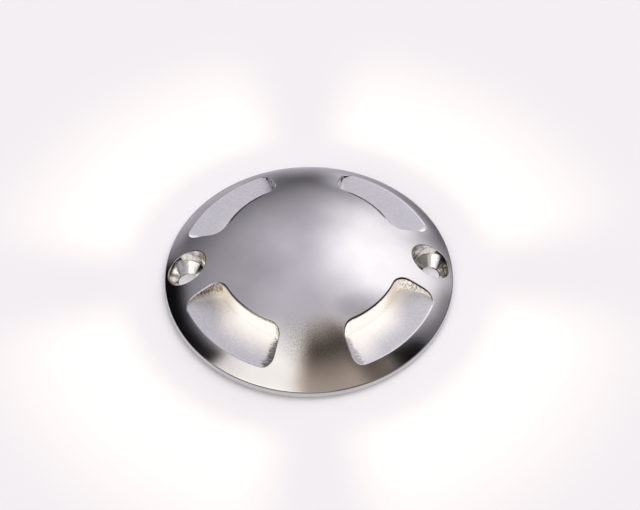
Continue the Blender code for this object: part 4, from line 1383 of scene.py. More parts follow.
mirror_loops = []
for ring in range(deflector_rings + 1):
    share = ring / deflector_rings
    radius = deflector_tip + (deflector_high.x - deflector_tip) * share
    height = deflector_low.z + (plate_height - deflector_low.z) * share**deflector_curve
    mirror_loops.append(mirror_loop(radius, height, deflector_hollow * share))
boss = [
    (deflector_boss + deflector_rim, plate_height),
    (deflector_boss, plate_height + deflector_rim),
    (deflector_boss, deflector_high.z - deflector_rim),
    (deflector_boss - deflector_rim, deflector_high.z),
]
mirror_loops += rings_at(boss, deflector_steps)
mirror = grained_finish("mirror_metal", (0.88, 0.88, 0.89), 0.06, 1.0, mirror_grain, 0.03)
deflector = coated("deflector_mirror", lofted(mirror_loops), mirror)
carried(deflector, "mirror_metal", "deflector")

# Lens
# A moulded cup of frosted plastic under the dome, on a ribbed rubber gasket; its wall stands just
# behind the windows and glows where the lamps shine through it.

gasket_low, gasket_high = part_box("lens_gasket")
gasket_rib = 0.12 * mm
gasket_ribs = 3
lens_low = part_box("lens")[0]
flange_thickness = 1.5 * mm
lens_flange_radius = 25.0 * mm
flange_top = lens_low.z + flange_thickness
dim_angle = radians(25)
bright_angle = radians(43)
lens_steps = 192


def gasket_outline():
    """Flat ring with small ribs on both faces."""
    inner = bore_radius
    wide = gasket_high.x - inner
    steps = 2 * gasket_ribs
    lower = []
    upper = []
    for step in range(steps + 1):
        sunk = gasket_rib * (1 - step % 2)
        across = inner + wide * step / steps
        lower.append((across, gasket_low.z + sunk))
        upper.append((across, gasket_high.z - sunk))
    return lower + upper[::-1]


carried(coated("lens_gasket_rubber", turned(gasket_outline()), rubber), "rubber", "lens_gasket")


def lit_share(tree, place):
    """How strongly a place is painted as lit from inside: dim beside the screw holes and at the back, full
    towards the front.
    """
    x, y, _ = axes_of(tree, place)
    turn = calculated(tree, "ARCTAN2", product(tree, y, -1.0), calculated(tree, "ABSOLUTE", x))
    return ramp(tree, turn, dim_angle, bright_angle)


lens_outline = [(radius, ground + height) for radius, height in ceiling(lens_radius, seat_gap)[::-1]]
lens_outline += [
    (lens_radius, flange_top),
    (lens_flange_radius, flange_top),
    (lens_flange_radius, lens_low.z),
    (lens_radius - lens_wall, lens_low.z),
]
lens_inside = ceiling(lens_radius - lens_wall, seat_gap + lens_wall)
lens_outline += [(radius, ground + height) for radius, height in lens_inside]
frosted, frosted_tree, frosted_shader = plain_finish("frosted_lens", (0.15, 0.148, 0.14), 0.5, 0)
lens_place = place_on(frosted_tree)
# Painted glow: the lens is painted brighter towards the front than at the back and beside the screw holes
lens_glow = mixed(frosted_tree, lit_share(frosted_tree, lens_place), (0.60, 0.53, 0.44), (0.88, 0.845, 0.80))
frosted_tree.links.new(lens_glow, frosted_shader.inputs["Emission Color"])
frosted_shader.inputs["Emission Strength"].default_value = 1.0
lens = coated("frosted_lens", turned(lens_outline, lens_steps), frosted)
carried(lens, "frosted_lens", "lens")

# Cover
# One casting in satin-plated metal: a shallow dome on a thin upright rim, turned outside, with
# four light windows milled into it and two countersunk screw holes bored through it.

rim_round = 0.3 * mm
rim_steps = 4
spigot_depth = 8.0 * mm
spigot_wall = 1.4 * mm
shoulder_height = 1.6 * mm
rebate_radius = 28.9 * mm
rebate_depth = 0.3 * mm
window_count = 4
window_inner = 23.5 * mm
window_floor = 4.55 * mm
window_half_angle = radians(26.8)
window_inner_corner = 3.6 * mm
window_outer_corner = 3.0 * mm
window_lip = 0.3 * mm
window_fillet = 0.3 * mm
end_fillet = 1.7 * mm
fillet_steps = 6
lip_steps = 3
most_share = 0.45
wall_swell = 1.5 * mm
wall_ripple = 0.6 * mm
even_rise = 2 * mm
under_grid = 3 * mm
bore_steps = 240
window_step = 0.45 * mm
wall_steps = 5
wall_unevenness = 0.13 * mm
screw_circle = 31.6 * mm
screw_hole_radius = 2.4 * mm
screw_hole_land = 0.3 * mm
countersink_radius = 4.6 * mm
counterbore_radius = 5.0 * mm
sink_top = screw_hole_land + countersink_radius - screw_hole_radius
hole_lip = 0.2 * mm
hole_points = 96
rim_points = 288
dome_grid = 0.6 * mm
touch = 0.0005 * mm
plan_touch = 1e-5
cover_crease = radians(50)
window_outer = sqrt(sphere_radius**2 - (window_floor - sphere_centre) ** 2)


def circle(radius, count, centre=(0, 0)):
    """Points on a circle in plan, each with its outward direction."""
    turns = [tau * step / count for step in range(count)]
    return [
        (centre[0] + radius * cos(turn), centre[1] + radius * sin(turn), cos(turn), sin(turn))
        for turn in turns
    ]


def arc(centre, radius, first, last, step, away=1):
    """Points along an arc in plan, each with the direction that leads away from its window."""
    count = max(3, round(abs(last - first) * radius / step))
    points = []
    for number in range(count + 1):
        turn = first + (last - first) * number / count
        across, along = cos(turn), sin(turn)
        x = centre[0] + radius * across
        y = centre[1] + radius * along
        points.append((x, y, away * across, away * along))
    return points


def straight(start, end, step):
    """Points between two corners, which share their direction."""
    count = max(2, round(hypot(end[0] - start[0], end[1] - start[1]) / step))
    points = []
    for number in range(1, count):
        share = number / count
        x = start[0] + (end[0] - start[0]) * share
        y = start[1] + (end[1] - start[1]) * share
        points.append((x, y, start[2], start[3]))
    return points


def window_outline(turn):
    """Plan of a window: inner arc, round corners, radial ends and the flush outer arc."""
    inner_reach = window_inner + window_inner_corner
    outer_reach = window_outer - window_outer_corner
    inner_half = window_half_angle - asin(window_inner_corner / inner_reach)
    outer_half = window_half_angle - asin(window_outer_corner / outer_reach)
    square = window_half_angle + pi / 2
    inner_place = (inner_reach * cos(inner_half), inner_reach * sin(inner_half))
    outer_place = (outer_reach * cos(outer_half), outer_reach * sin(outer_half))
    step = window_step
    inner_corner = arc(inner_place, window_inner_corner, inner_half + pi, square, step)
    outer_corner = arc(outer_place, window_outer_corner, square, outer_half, step)
    end = straight(inner_corner[-1], outer_corner[0], step)
    side = inner_corner[1:] + end + outer_corner
    outline = arc((0, 0), window_inner, -inner_half, inner_half, step, -1)
    outline += side
    outline += arc((0, 0), window_outer, outer_half, -outer_half, step)[1:-1]
    outline += [(x, -y, across, -along) for x, y, across, along in reversed(side)]
    outline.pop()
    c, s = cos(turn), sin(turn)
    return [
        (x * c - y * s, x * s + y * c, across * c - along * s, across * s + along * c)
        for x, y, across, along in outline
    ]


def filled_plan(shape, outside, holes, height, grid):
    """A surface over the plan inside one loop and outside others, at a height by radius."""
    loops = [[(x / mm, y / mm) for x, y, *_ in loop] for loop in [outside, *holes]]
    points = [Vector(point) for loop in loops for point in loop]
    edges = []
    first = 0
    for loop in loops:
        count = len(loop)
        edges += [(first + step, first + (step + 1) % count) for step in range(count)]
        first += count
    reach = max(hypot(x, y) for x, y in loops[0])
    rings = int(reach * mm / grid)
    for ring in range(1, rings):
        radius = reach * ring / rings
        count = max(6, round(tau * radius * mm / grid))
        for step in range(count):
            turn = tau * (step + 0.5 * (ring % 2)) / count
            points.append(Vector((radius * cos(turn), radius * sin(turn))))
    corners, _, faces, *_ = delaunay_2d_cdt(points, edges, [], 0, plan_touch)
    verts = {}
    for face in faces:
        middle = sum((corners[corner] for corner in face), Vector((0, 0))) / len(face)
        if any(inside(middle, loop) for loop in loops[1:]):
            continue
        row = []
        for corner in face:
            if corner not in verts:
                x, y = corners[corner] * mm
                verts[corner] = shape.verts.new((x, y, height(hypot(x, y))))
            row.append(verts[corner])
        shape.faces.new(row)


def inside(point, loop):
    """Whether a point in plan lies in a loop."""
    x, y = point
    found = False
    for (ax, ay), (bx, by) in zip(loop, loop[1:] + loop[:1]):
        if (ay > y) != (by > y) and x < (bx - ax) * (y - ay) / (by - ay) + ax:
            found = not found
    return found


def window_walls(shape, outline):
    """Lip, milled wall and fillet of a window, and its flat floor."""
    rows = []
    for x, y, across, along in outline:
        edge = Vector((x, y, dome_height(hypot(x, y))))
        foot = Vector((x, y, window_floor))
        away = Vector((across, along, 0))
        rise = edge.z - window_floor
        lip = min(window_lip, most_share * rise)
        sideways = 1 - ((x * across + y * along) / hypot(x, y)) ** 2
        fillet = min(window_fillet + (end_fillet - window_fillet) * sideways, most_share * rise)
        out = edge + away * window_lip
        out.z = dome_height(hypot(out.x, out.y))
        upward = Vector((0, 0, 1))
        row = [bend(out, edge, edge - upward * lip, step / lip_steps) for step in range(lip_steps + 1)]
        top = row[-1]
        low = foot + upward * fillet
        for step in range(1, wall_steps):
            share = step / wall_steps
            point = top.lerp(low, share)
            uneven = noise.noise(point / wall_swell) + 0.5 * noise.noise(point / wall_ripple)
            uneven *= wall_unevenness * sin(pi * share) * min(1, rise / even_rise)
            row.append(point + away * uneven)
        inward = foot - away * fillet
        row += [bend(low, foot, inward, step / fillet_steps) for step in range(fillet_steps + 1)]
        row.append(inward - away * window_lip)
        rows.append(row)
    loops = list(zip(*rows))
    shape.faces.new(skin(shape, loops)[1])
    return [(loop[0], loop[1]) for loop in loops[0]]


def screw_hole(shape, side):
    """Lip, counterbore, countersink and through hole, down to the underside."""
    centre = Vector((side * screw_circle, 0, 0))
    loops = []
    plan = circle(1, hole_points)
    for step in range(lip_steps + 1):
        loop = []
        for x, y, *_ in plan:
            wide = centre + Vector((x, y, 0)) * (counterbore_radius + hole_lip)
            edge = centre + Vector((x, y, 0)) * counterbore_radius
            wide.z = dome_height(wide.xy.length)
            edge.z = dome_height(edge.xy.length)
            low = edge - Vector((0, 0, hole_lip))
            loop.append(bend(wide, edge, low, step / lip_steps))
        loops.append(loop)
    walls = [
        (counterbore_radius, sink_top + 3 * hole_lip),
        (counterbore_radius - 0.3 * hole_lip, sink_top + 2 * hole_lip),
        (countersink_radius + 0.5 * hole_lip, sink_top + 0.9 * hole_lip),
        (countersink_radius - 0.5 * hole_lip, sink_top - 0.5 * hole_lip),
        (screw_hole_radius + 0.5 * hole_lip, screw_hole_land + 0.5 * hole_lip),
        (screw_hole_radius, screw_hole_land - 0.2 * hole_lip),
        (screw_hole_radius, 0),
    ]
    for radius, height in walls:
        loops.append([centre + Vector((x * radius, y * radius, height)) for x, y, *_ in plan])
    skin(shape, loops)
    return [(point.x, point.y) for point in loops[0]]


def cover_blank():
    """The cover before its inside is bored out."""
    shape = bmesh.new()
    mouths = []
    for number in range(window_count):
        mouths.append(window_walls(shape, window_outline(tau * (number + 0.5) / window_count)))
    for side in (1, -1):
        mouths.append(screw_hole(shape, side))
    edge = cover_radius - rim_round
    filled_plan(shape, circle(edge, rim_points), mouths, dome_height, dome_grid)
    corner = Vector((cover_radius, 0, rim_height))
    start = Vector((edge, 0, dome_height(edge)))
    end = corner - Vector((0, 0, rim_round))
    profile = [bend(start, corner, end, step / rim_steps) for step in range(rim_steps + 1)]
    profile.append(Vector((cover_radius, 0, rim_round / 2)))
    profile.append(Vector((cover_radius - rim_round / 5, 0, rim_round / 5)))
    profile.append(Vector((cover_radius - rim_round / 2, 0, 0)))
    skin(shape, [ring_at(point.x, point.z, rim_points) for point in profile])
    under = circle(cover_radius - rim_round / 2, rim_points)
    bolt_holes = [circle(screw_hole_radius, hole_points, (side * screw_circle, 0)) for side in (1, -1)]
    rebate = circle(rebate_radius, rim_points)
    filled_plan(shape, under, [rebate, *bolt_holes], lambda radius: 0, under_grid)
    spigot = [
        (rebate_radius, 0),
        (rebate_radius, rebate_depth),
        (housing_radius, rebate_depth),
        (housing_radius, -spigot_depth),
    ]
    shape.faces.new(skin(shape, rings_at(spigot, rim_points))[1])
    return shape


def polished_normals(mesh):
    """Exact directions for the dome, and a soft turn at the flush edge."""
    centre = Vector((0, 0, ground + sphere_centre))
    normals = []
    for loop in mesh.loops:
        place = mesh.vertices[loop.vertex_index].co
        radius = place.xy.length
        height = place.z - ground
        if abs(radius - window_outer) < touch and abs(height - window_floor) < touch:
            normals.append(((place - centre).normalized() + Vector((0, 0, 1))).normalized())
        elif height > rim_height and abs((place - centre).length - sphere_radius) < touch:
            normals.append((place - centre).normalized())
        else:
            normals.append(Vector((0, 0, 0)))
    mesh.normals_split_custom_set(normals)


bore = [
    (0, -spigot_depth - overrun),
    (housing_radius - spigot_wall, -spigot_depth - overrun),
    (housing_radius - spigot_wall, shoulder_height),
    (bore_radius, shoulder_height),
] + ceiling(bore_radius)
cover = shown("domed_cover", mesh_of("domed_cover", cover_blank(), ground, cover_crease))
cut_by(cover, turned(bore, bore_steps), ground)
polished_normals(cover.data)

# Satin metal: a fine blasted grain on the dome, rougher where the windows were milled into it,
# and upright streaks in the screw holes. Pairs of limits are steps from a surface, wall or axis.
below_skin = (-0.10 * mm, -0.35 * mm)
beside_hole = (5.4 * mm, 6.4 * mm)
floor_run = 0.2 * mm
grain_size = 0.28 * mm
milling_size = 0.6 * mm
cloud_size = 9 * mm
stroke_size = 0.5 * mm
stripe_size = 0.7 * mm
edge_streak_size = 0.42 * mm
worn_size = 0.34 * mm
streak_size = 0.55 * mm
wall_foot = (2.4 * mm, 0.9 * mm)
corner_turn = (radians(64), radians(70))
corner_reach = (22 * mm, 26 * mm)
rear_turn = (radians(-25), radians(-19.5))
worn_start = (19 * mm, 25 * mm)
worn_end = (33 * mm, 28 * mm)
worn_sides = (9 * mm, 5 * mm)
hole_outside = (2.6 * mm, 3.8 * mm)
over_cone = (-0.6 * mm, 0)
far_side = (-0.4 * mm, 1.2 * mm)
window_turn = radians(17)
off_skin = (-0.004 * mm, -0.02 * mm)
by_lens = (0.5 * mm, 0.2 * mm)
in_bore = 0.4 * mm
band_reach = (-0.9 * mm, -0.6 * mm)
band_turn = (radians(26), radians(32))
lip_reach = (-0.6 * mm, -0.4 * mm)
glow_reach = (4.5 * mm, 9.2 * mm)
glow_more = 5 * mm
glow_more_turn = (radians(54), radians(65))
glow_start = 0.6 * mm
grain_relief = 0.05 * mm
wall_relief = 0.35 * mm


def apart(base, steps):
    """Limits at their steps from a base."""
    return [base + step for step in steps]


satin, metal, satin_shader = plain_finish("satin_metal", (0.62, 0.60, 0.60), 0.16, 1)
on_cover = place_on(metal)
cover_x, cover_y, cover_z = axes_of(metal, on_cover)
front = product(metal, cover_y, -1.0)
across = calculated(metal, "ABSOLUTE", cover_x)
dome_centre = joined(metal, "ShaderNodeCombineXYZ", (("Z", ground + sphere_centre),)).outputs[0]
from_centre = vectors(metal, "DISTANCE", on_cover, dome_centre).outputs["Value"]
in_plan = vectors(metal, "MULTIPLY", on_cover, (1, 1, 0)).outputs[0]
from_axis = vectors(metal, "LENGTH", in_plan).outputs["Value"]

# Where a place is: in a window, on its wall, in a screw hole, and at which end or side
sunk = ramp(metal, from_centre, *apart(sphere_radius, below_skin))
aside = ramp(metal, calculated(metal, "ABSOLUTE", cover_y), *beside_hole)
within = calculated(metal, "LESS_THAN", from_axis, window_outer + floor_run)
over_floor = calculated(metal, "GREATER_THAN", cover_z, ground + window_floor - touch)
milled = product(metal, sunk, aside, within, over_floor)
over_ground = calculated(metal, "GREATER_THAN", cover_z, ground + touch)
in_rim = calculated(metal, "LESS_THAN", from_axis, cover_radius - countersink_radius / 4)
out_of_bore = calculated(metal, "GREATER_THAN", from_axis, housing_radius)
turned_hole = product(metal, sunk, opposite(metal, aside), in_rim, out_of_bore, over_ground)
facing = axes_of(metal, joined(metal, "ShaderNodeNewGeometry").outputs["Normal"])["Z"]
upright = ramp(metal, facing, 0.8, 0.3)
milled_wall = product(metal, milled, upright)
on_right = calculated(metal, "GREATER_THAN", cover_x, 0.0)
in_front = calculated(metal, "GREATER_THAN", front, 0.0)
at_back = calculated(metal, "LESS_THAN", front, 0.0)
end_turn = calculated(metal, "ARCTAN2", front, across)
from_diagonal = calculated(metal, "PINGPONG", end_turn, pi / 4)

# Dome: faint clouds, and worn specks on its front
fine = speckle(metal, on_cover, grain_size, 3.0, 0.7)
cloud = ramp(metal, speckle(metal, on_cover, cloud_size, 2.0), 0.3, 0.7)
tone = mixed(metal, cloud, (0.60, 0.585, 0.59), (0.65, 0.63, 0.63))
gritty = ramp(metal, speckle(metal, on_cover, worn_size, 3.0, 0.7), 0.48, 0.60)
worn = product(metal, ramp(metal, front, *worn_start), ramp(metal, front, *worn_end))
worn = product(metal, worn, ramp(metal, across, *worn_sides), gritty, 0.4)
tone = mixed(metal, worn, tone, (0.26, 0.24, 0.22))

# Window floors: milled, with painted shade in streaks at their front corners and a painted highlight at the
# rear ends of the back floors
coarse = speckle(metal, on_cover, milling_size, 5.0, 0.65, (1, 1, 0.5))
edge_streaks = speckle(metal, on_cover, edge_streak_size, 3.0, 0.6, (0.35, 1.7, 1))
edge_streaks = calculated(metal, "SUBTRACT", edge_streaks, 0.5)
# Painted shade: dark streaky patches at the front corners of the floors, darker in the left windows than in
# the right
corner = product(metal, ramp(metal, end_turn, *corner_turn), 0.55, ramp(metal, from_axis, *corner_reach))
ragged = calculated(metal, "ADD", corner, edge_streaks)
painted_shade_patch = product(metal, ramp(metal, ragged, 0.22, 0.55), milled, 0.9)
painted_shade_tone = mixed(metal, on_right, (0.14, 0.125, 0.115), (0.50, 0.48, 0.53))
floor_tone = mixed(metal, ramp(metal, coarse, 0.35, 0.65), (0.66, 0.65, 0.68), (0.77, 0.76, 0.79))
floor_tone = mixed(metal, painted_shade_patch, floor_tone, painted_shade_tone)
# Painted highlight: a near-white, softly glowing streak at the rear ends of the back floors
rear_highlight = calculated(metal, "ADD", product(metal, ramp(metal, end_turn, *rear_turn), 0.55), edge_streaks)
rear_highlight = product(metal, ramp(metal, rear_highlight, 0.30, 0.50), at_back, milled)
floor_tone = mixed(metal, rear_highlight, floor_tone, (0.99, 0.99, 0.99))
tone = mixed(metal, milled, tone, floor_tone)

# Screw holes: upright streaks, with painted shade on the outer side over the cone
streaks = speckle(metal, on_cover, streak_size, 3.0, 0.6, (1, 1, 0.12))
streaked = mixed(metal, ramp(metal, streaks, 0.38, 0.62), (0.76, 0.74, 0.72), (0.94, 0.93, 0.91))
outer_side = ramp(metal, from_axis, *apart(screw_circle, hole_outside))
far_half = calculated(metal, "MAXIMUM", ramp(metal, cover_y, *far_side), on_right)
above_cone = product(metal, ramp(metal, cover_z, *apart(ground + sink_top, over_cone)), far_half)
cone_share = product(metal, on_right, ramp(metal, streaks, 0.58, 0.48), 0.9)
# Painted shade: black on the outer side over the cone, and dark streaks on the right hole's cone
shaded = product(metal, outer_side, calculated(metal, "MAXIMUM", above_cone, cone_share))
hole_tone = mixed(metal, shaded, streaked, (0.02, 0.02, 0.02))
tone = mixed(metal, turned_hole, tone, hole_tone)

# Window walls: torn strokes, with painted light at their foot and on the right-hand walls, painted shade on
# the left-hand walls, and hard stripes on those at the back
strokes = speckle(metal, on_cover, stroke_size, 4.0, 0.6, (1.6, 1.6, 0.5))
stripes = speckle(metal, on_cover, stripe_size, 2.0, 0.5, (1.6, 0.4, 0.2))
near_foot = ramp(metal, cover_z, *apart(ground + window_floor, wall_foot))
# Painted light and shade: the walls on the right are painted lighter than those on the left
wall_dark = mixed(metal, on_right, (0.05, 0.045, 0.04), (0.50, 0.47, 0.43))
wall_bright = mixed(metal, on_right, (0.60, 0.56, 0.52), (0.95, 0.93, 0.89))
wall_light = mixed(metal, ramp(metal, strokes, 0.42, 0.57), wall_dark, wall_bright)
# Painted light at the foot of the walls, warm like the lens's glow
foot_light = mixed(metal, ramp(metal, strokes, 0.30, 0.50), (0.52, 0.47, 0.40), (0.84, 0.80, 0.70))
striped = mixed(metal, ramp(metal, stripes, 0.46, 0.54), (0.03, 0.03, 0.03), (0.98, 0.97, 0.98))
wall_tone = mixed(metal, near_foot, wall_light, foot_light)
wall_tone = mixed(metal, in_front, striped, wall_tone)
tone = mixed(metal, milled_wall, tone, wall_tone)

# Painted shade: a dark line where the dome's edge hangs over the lens and over the front right wall
off_dome = ramp(metal, from_centre, *apart(sphere_radius, off_skin))
beside_lens = ramp(metal, from_axis, *apart(window_inner, by_lens))
past_bore = calculated(metal, "GREATER_THAN", from_axis, window_inner - in_bore)
at_window = calculated(metal, "GREATER_THAN", from_diagonal, window_turn)
lens_lip = product(metal, off_dome, beside_lens, past_bore, at_window, 0.4)
back_band = product(
    metal,
    ramp(metal, from_axis, *apart(window_inner, band_reach)),
    ramp(metal, from_diagonal, *band_turn),
    0.85,
    beside_lens,
    at_back,
)
lens_lip = calculated(metal, "MAXIMUM", lens_lip, back_band)
lip_depth = ramp(metal, from_centre, *apart(sphere_radius, lip_reach))
end_lip = product(metal, off_dome, lip_depth, upright, on_right, in_front, aside, within, over_floor)
dark_lip = calculated(metal, "MAXIMUM", lens_lip, end_lip)
tone = mixed(metal, dark_lip, tone, (0.03, 0.03, 0.03))
metal.links.new(tone, satin_shader.inputs["Base Color"])

# Painted light from the lens on the floors and on the front walls, and a painted highlight at the rear ends
# of the back floors
glow_turn = lit_share(metal, on_cover)
glow_edge = between(metal, glow_turn, *apart(window_inner, glow_reach))
right_end = product(metal, on_right, ramp(metal, end_turn, *glow_more_turn), glow_more)
glow_edge = calculated(metal, "ADD", glow_edge, right_end)
glow_fade = ramp(metal, from_axis, glow_edge, window_inner + glow_start)
glow_place = calculated(metal, "MAXIMUM", in_front, opposite(metal, milled_wall))
glow_share = product(metal, glow_fade, milled, glow_place, opposite(metal, painted_shade_patch))
glow_colour = mixed(metal, glow_turn, (0.22, 0.18, 0.13), (0.46, 0.42, 0.35))
shine = mixed(metal, glow_share, (0.0, 0.0, 0.0), glow_colour)
lit_wall = product(metal, milled_wall, on_right, in_front, ramp(metal, strokes, 0.36, 0.60))
shine = mixed(metal, lit_wall, shine, (0.52, 0.49, 0.44))
shine = mixed(metal, dark_lip, shine, (0.0, 0.0, 0.0))
shine = mixed(metal, product(metal, rear_highlight, 0.5), shine, (0.5, 0.5, 0.5))
metal.links.new(shine, satin_shader.inputs["Emission Color"])
satin_shader.inputs["Emission Strength"].default_value = 1.0

# Roughness and relief
grit = ramp(metal, fine, 0.3, 0.7, 0.07, 0.12)
floor_grit = ramp(metal, coarse, 0.35, 0.65, 0.56, 0.68)
wall_grit = ramp(metal, coarse, 0.35, 0.65, 0.18, 0.30)
window_grit = between(metal, upright, floor_grit, wall_grit)
metal.links.new(between(metal, milled, grit, window_grit), satin_shader.inputs["Roughness"])
grain_socket = (("Strength", 0.22), ("Distance", grain_relief), ("Height", fine))
grain_bump = joined(metal, "ShaderNodeBump", grain_socket).outputs[0]
wall_depth = product(metal, strokes, milled_wall, 0.7)
depth = calculated(metal, "ADD", wall_depth, product(metal, streaks, turned_hole, 0.05))
wall_socket = (("Strength", 0.9), ("Distance", wall_relief), ("Height", depth), ("Normal", grain_bump))
metal.links.new(joined(metal, "ShaderNodeBump", wall_socket).outputs[0], satin_shader.inputs["Normal"])
cover.data.materials.append(satin)
carried(cover, "satin_metal", "cover")

# Ground, studio and camera
# A pale floor at ground level with a hole for the sleeve, open to view from below; a soft pale
# room; and the camera where the photographer stood.

floor_radius = 3.0
floor_rings = (28.8 * mm, 60 * mm, 200 * mm, floor_radius)
floor_steps = 144
plate = bmesh.new()
skin(plate, rings_at([(radius, 0) for radius in floor_rings], floor_steps))
floor = shown("floor", mesh_of("floor", plate, ground))
if floor.data.polygons[0].normal.z < 0:
    floor.data.flip_normals()
pale, pale_tree, pale_shader = plain_finish("pale_floor", (0.862, 0.852, 0.862), 0.9, 0)
pale_shader.inputs["Specular IOR Level"].default_value = 0.1
from_below = joined(pale_tree, "ShaderNodeNewGeometry").outputs["Backfacing"]
see_through = joined(pale_tree, "ShaderNodeBsdfTransparent").outputs["BSDF"]
sides = ((0, from_below), (1, pale_shader.outputs["BSDF"]), (2, see_through))
one_way = joined(pale_tree, "ShaderNodeMixShader", sides).outputs[0]
pale_tree.links.new(one_way, pale_tree.nodes["Material Output"].inputs["Surface"])
floor.data.materials.append(pale)
floor.visible_glossy = False

world = bpy.data.worlds.new("studio")
bpy.context.scene.world = world
world.use_nodes = True
room = world.node_tree
room.nodes.clear()
toward = joined(room, "ShaderNodeTexCoord").outputs["Generated"]
toward_x, toward_y, toward_z = axes_of(room, toward)
height_angle = calculated(room, "ARCSINE", toward_z)
ahead = calculated(room, "ARCTAN2", toward_x, toward_y)
behind = calculated(room, "ARCTAN2", toward_x, product(room, toward_y, -1.0))


def card(bearing, left, right, low, high, edge, low_edge=None, climb=0.0):
    """A soft-edged card in the room, between two bearings and two heights in degrees."""
    soft = radians(edge)
    low_soft = radians(low_edge or edge)
    off_middle = calculated(room, "SUBTRACT", bearing, radians(left + right) / 2)
    level = calculated(room, "SUBTRACT", height_angle, product(room, off_middle, climb))
    return product(
        room,
        ramp(room, bearing, radians(left) - soft, radians(left) + soft),
        ramp(room, bearing, radians(right) + soft, radians(right) - soft),
        ramp(room, level, radians(low) - low_soft, radians(low) + low_soft),
        ramp(room, level, radians(high) + soft, radians(high) - soft),
    )


# The tall soft window behind and to the right of the light
bright_card = card(ahead, 15, 76, 10, 66, 18)
lit = ramp(room, height_angle, radians(-8), radians(52), 0.16, 0.76)
for mask, strength in (
    # pale floor, seen in the dome's lowest ring
    (ramp(room, height_angle, radians(-3), radians(-42)), 0.62),
    (bright_card, 0.86),
    # pale wall to the left of the window
    (card(ahead, 0, 34, 4, 30, 10), 0.14),
    # light ceiling over the window
    (card(ahead, -10, 40, 55, 72, 12), 0.06),
    # strip at the dome's back right edge
    (card(ahead, 6, 36, -12, 9, 4, 3, 0.6), 0.48),
    # strip at the dome's back left edge
    (card(ahead, -40, -8, -20, -1, 4), 0.30),
    # its end by the left screw hole
    (card(ahead, -58, -24, -5, 6, 3, 3, -0.7), 0.15),
    # white board on the left of the camera
    (card(behind, -78, -12, 26, 68, 12, 4), 0.66),
    # its lower half, which shows in the screw holes alone
    (card(behind, -88, -8, 20, 37, 5, 3, 0.2), 0.55),
):
    lit = calculated(room, "ADD", lit, product(room, mask, strength))
brown = card(behind, -12, 64, 36, 77, 8)
for mask, share in (
    # grey wall on the left
    (card(ahead, -120, -28, -20, 66, 16), 0.28),
    # black flag on the left, which slopes down to the back
    (card(ahead, -109, -45, -12, 29, 3, 4, -0.45), 0.98),
    # dark wall on the right
    (card(ahead, 62, 140, 15, 41, 6, 5, 0.62), 0.64),
    # black flag before it
    (card(ahead, 94, 116, 20, 43, 4, 4, 0.6), 0.93),
    # shade over the dark wall
    (card(ahead, 66, 100, 52, 75, 8), 0.25),
    # photographer behind the camera
    (card(behind, -10, 60, 55, 78, 11), 0.88),
    (card(behind, -10, 60, 36, 58, 8), 0.35),
    # dark stand on the right of the camera
    (card(behind, 48, 75, 46, 58, 5), 0.45),
    # its foot
    (card(behind, 15, 78, 8, 35, 6), 0.60),
):
    lit = product(room, lit, opposite(room, product(room, mask, share)))
towards_camera = ramp(room, toward_y, 0.15, -0.45)
hue = mixed(room, towards_camera, (0.98, 0.948, 1.055), (1.03, 1.0, 0.96))
hue = mixed(room, bright_card, hue, (1.0, 0.985, 1.01))
hue = mixed(room, brown, hue, (1.17, 0.98, 0.83))
studio = joined(room, "ShaderNodeBackground", ((0, hue), (1, lit)))
backdrop = joined(room, "ShaderNodeBackground", ((0, (0.88, 0.855, 0.88, 1)), (1, 1.0)))
paths = joined(room, "ShaderNodeLightPath")
seen = joined(
    room,
    "ShaderNodeMixShader",
    ((0, paths.outputs["Is Camera Ray"]), (1, studio.outputs[0]), (2, backdrop.outputs[0])),
)
joined(room, "ShaderNodeOutputWorld", ((0, seen.outputs[0]),))

overhead = bpy.data.lights.new("overhead", "SUN")
overhead.energy = 1.2
overhead.angle = radians(60)
glow_height = 80 * mm
pool_start = (44.5 * mm, 54 * mm)
pool_end = (108 * mm, 57 * mm)
pool_sides = (radians(3), radians(20))
spill_end = (60 * mm, 38 * mm)
glow = bpy.data.lights.new("window_glow", "POINT")
glow.energy = 0.078
glow.shadow_soft_size = 2 * mm
glow.use_nodes = True

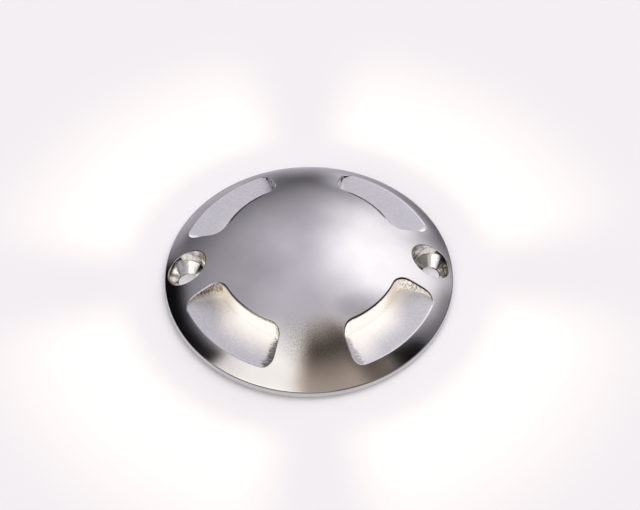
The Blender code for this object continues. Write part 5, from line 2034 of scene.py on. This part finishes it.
# Four beams on the ground, from the angle at which a ray of the glow leaves and where it lands
rays = glow.node_tree
ray = joined(rays, "ShaderNodeTexCoord").outputs["Normal"]
ray_x, ray_y, ray_z = axes_of(rays, ray)
steep = calculated(rays, "ABSOLUTE", ray_z)
level_ray = vectors(rays, "MULTIPLY", ray, (1, 1, 0)).outputs[0]
slope = calculated(rays, "DIVIDE", vectors(rays, "LENGTH", level_ray).outputs["Value"], steep)
landing = product(rays, slope, glow_height)
quarter = calculated(rays, "PINGPONG", calculated(rays, "ARCTAN2", ray_y, ray_x), pi / 4)
far = calculated(rays, "POWER", ramp(rays, landing, *pool_end), 2.0)
beams = product(rays, ramp(rays, landing, *pool_start), far, ramp(rays, quarter, *pool_sides))
spill = product(rays, ramp(rays, landing, *spill_end), 0.05)
warm = joined(rays, "ShaderNodeVectorMath", ((0, (1.0, 0.72, 0.48)), ("Scale", beams)), operation="SCALE")
white = joined(rays, "ShaderNodeVectorMath", ((0, (1.0, 1.0, 1.0)), ("Scale", spill)), operation="SCALE")
pool_colour = vectors(rays, "ADD", warm.outputs[0], white.outputs[0]).outputs[0]
rays.links.new(pool_colour, rays.nodes["Emission"].inputs["Color"])
further = calculated(rays, "DIVIDE", 1.0, calculated(rays, "POWER", steep, 3.0))
rays.links.new(further, rays.nodes["Emission"].inputs["Strength"])

sun = bpy.data.objects.new("overhead", overhead)
sun.location = (0.4, 0.5, 1)
sun.rotation_euler = (-sun.location).to_track_quat("-Z", "Y").to_euler()
sun.visible_camera = False
window_glow = bpy.data.objects.new("window_glow", glow)
window_glow.location = (0, 0, ground + glow_height)
for item in (sun, window_glow):
    item.visible_glossy = False
    bpy.context.scene.collection.objects.link(item)
lit_floor = bpy.data.collections.new("lit_floor")
lit_floor.objects.link(floor)
window_glow.light_linking.receiver_collection = lit_floor
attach(window_glow, "light")

photo_height = 51.8
photo_bearing = -1.4
photo_distance = 450 * mm
photo_lens = 96.9
aim_right = 2.9 * mm
aim_up = 6.085 * mm
near_clip = 10 * mm
rise_angle = radians(photo_height)
bearing = radians(photo_bearing)
back = Vector((sin(bearing) * cos(rise_angle), -cos(bearing) * cos(rise_angle), sin(rise_angle)))
right = Vector((0, 0, 1)).cross(back).normalized()
up = back.cross(right)
middle = Vector((0, 0, ground))
eye = middle + back * photo_distance
aim = middle + right * aim_right + up * aim_up
camera = bpy.data.objects.new("camera", bpy.data.cameras.new("camera"))
camera.data.lens = photo_lens
camera.data.clip_start = near_clip
camera.location = eye
camera.rotation_euler = (aim - eye).to_track_quat("-Z", "Y").to_euler()
bpy.context.scene.collection.objects.link(camera)
bpy.context.scene.camera = camera
bpy.context.scene.view_settings.view_transform = "Standard"
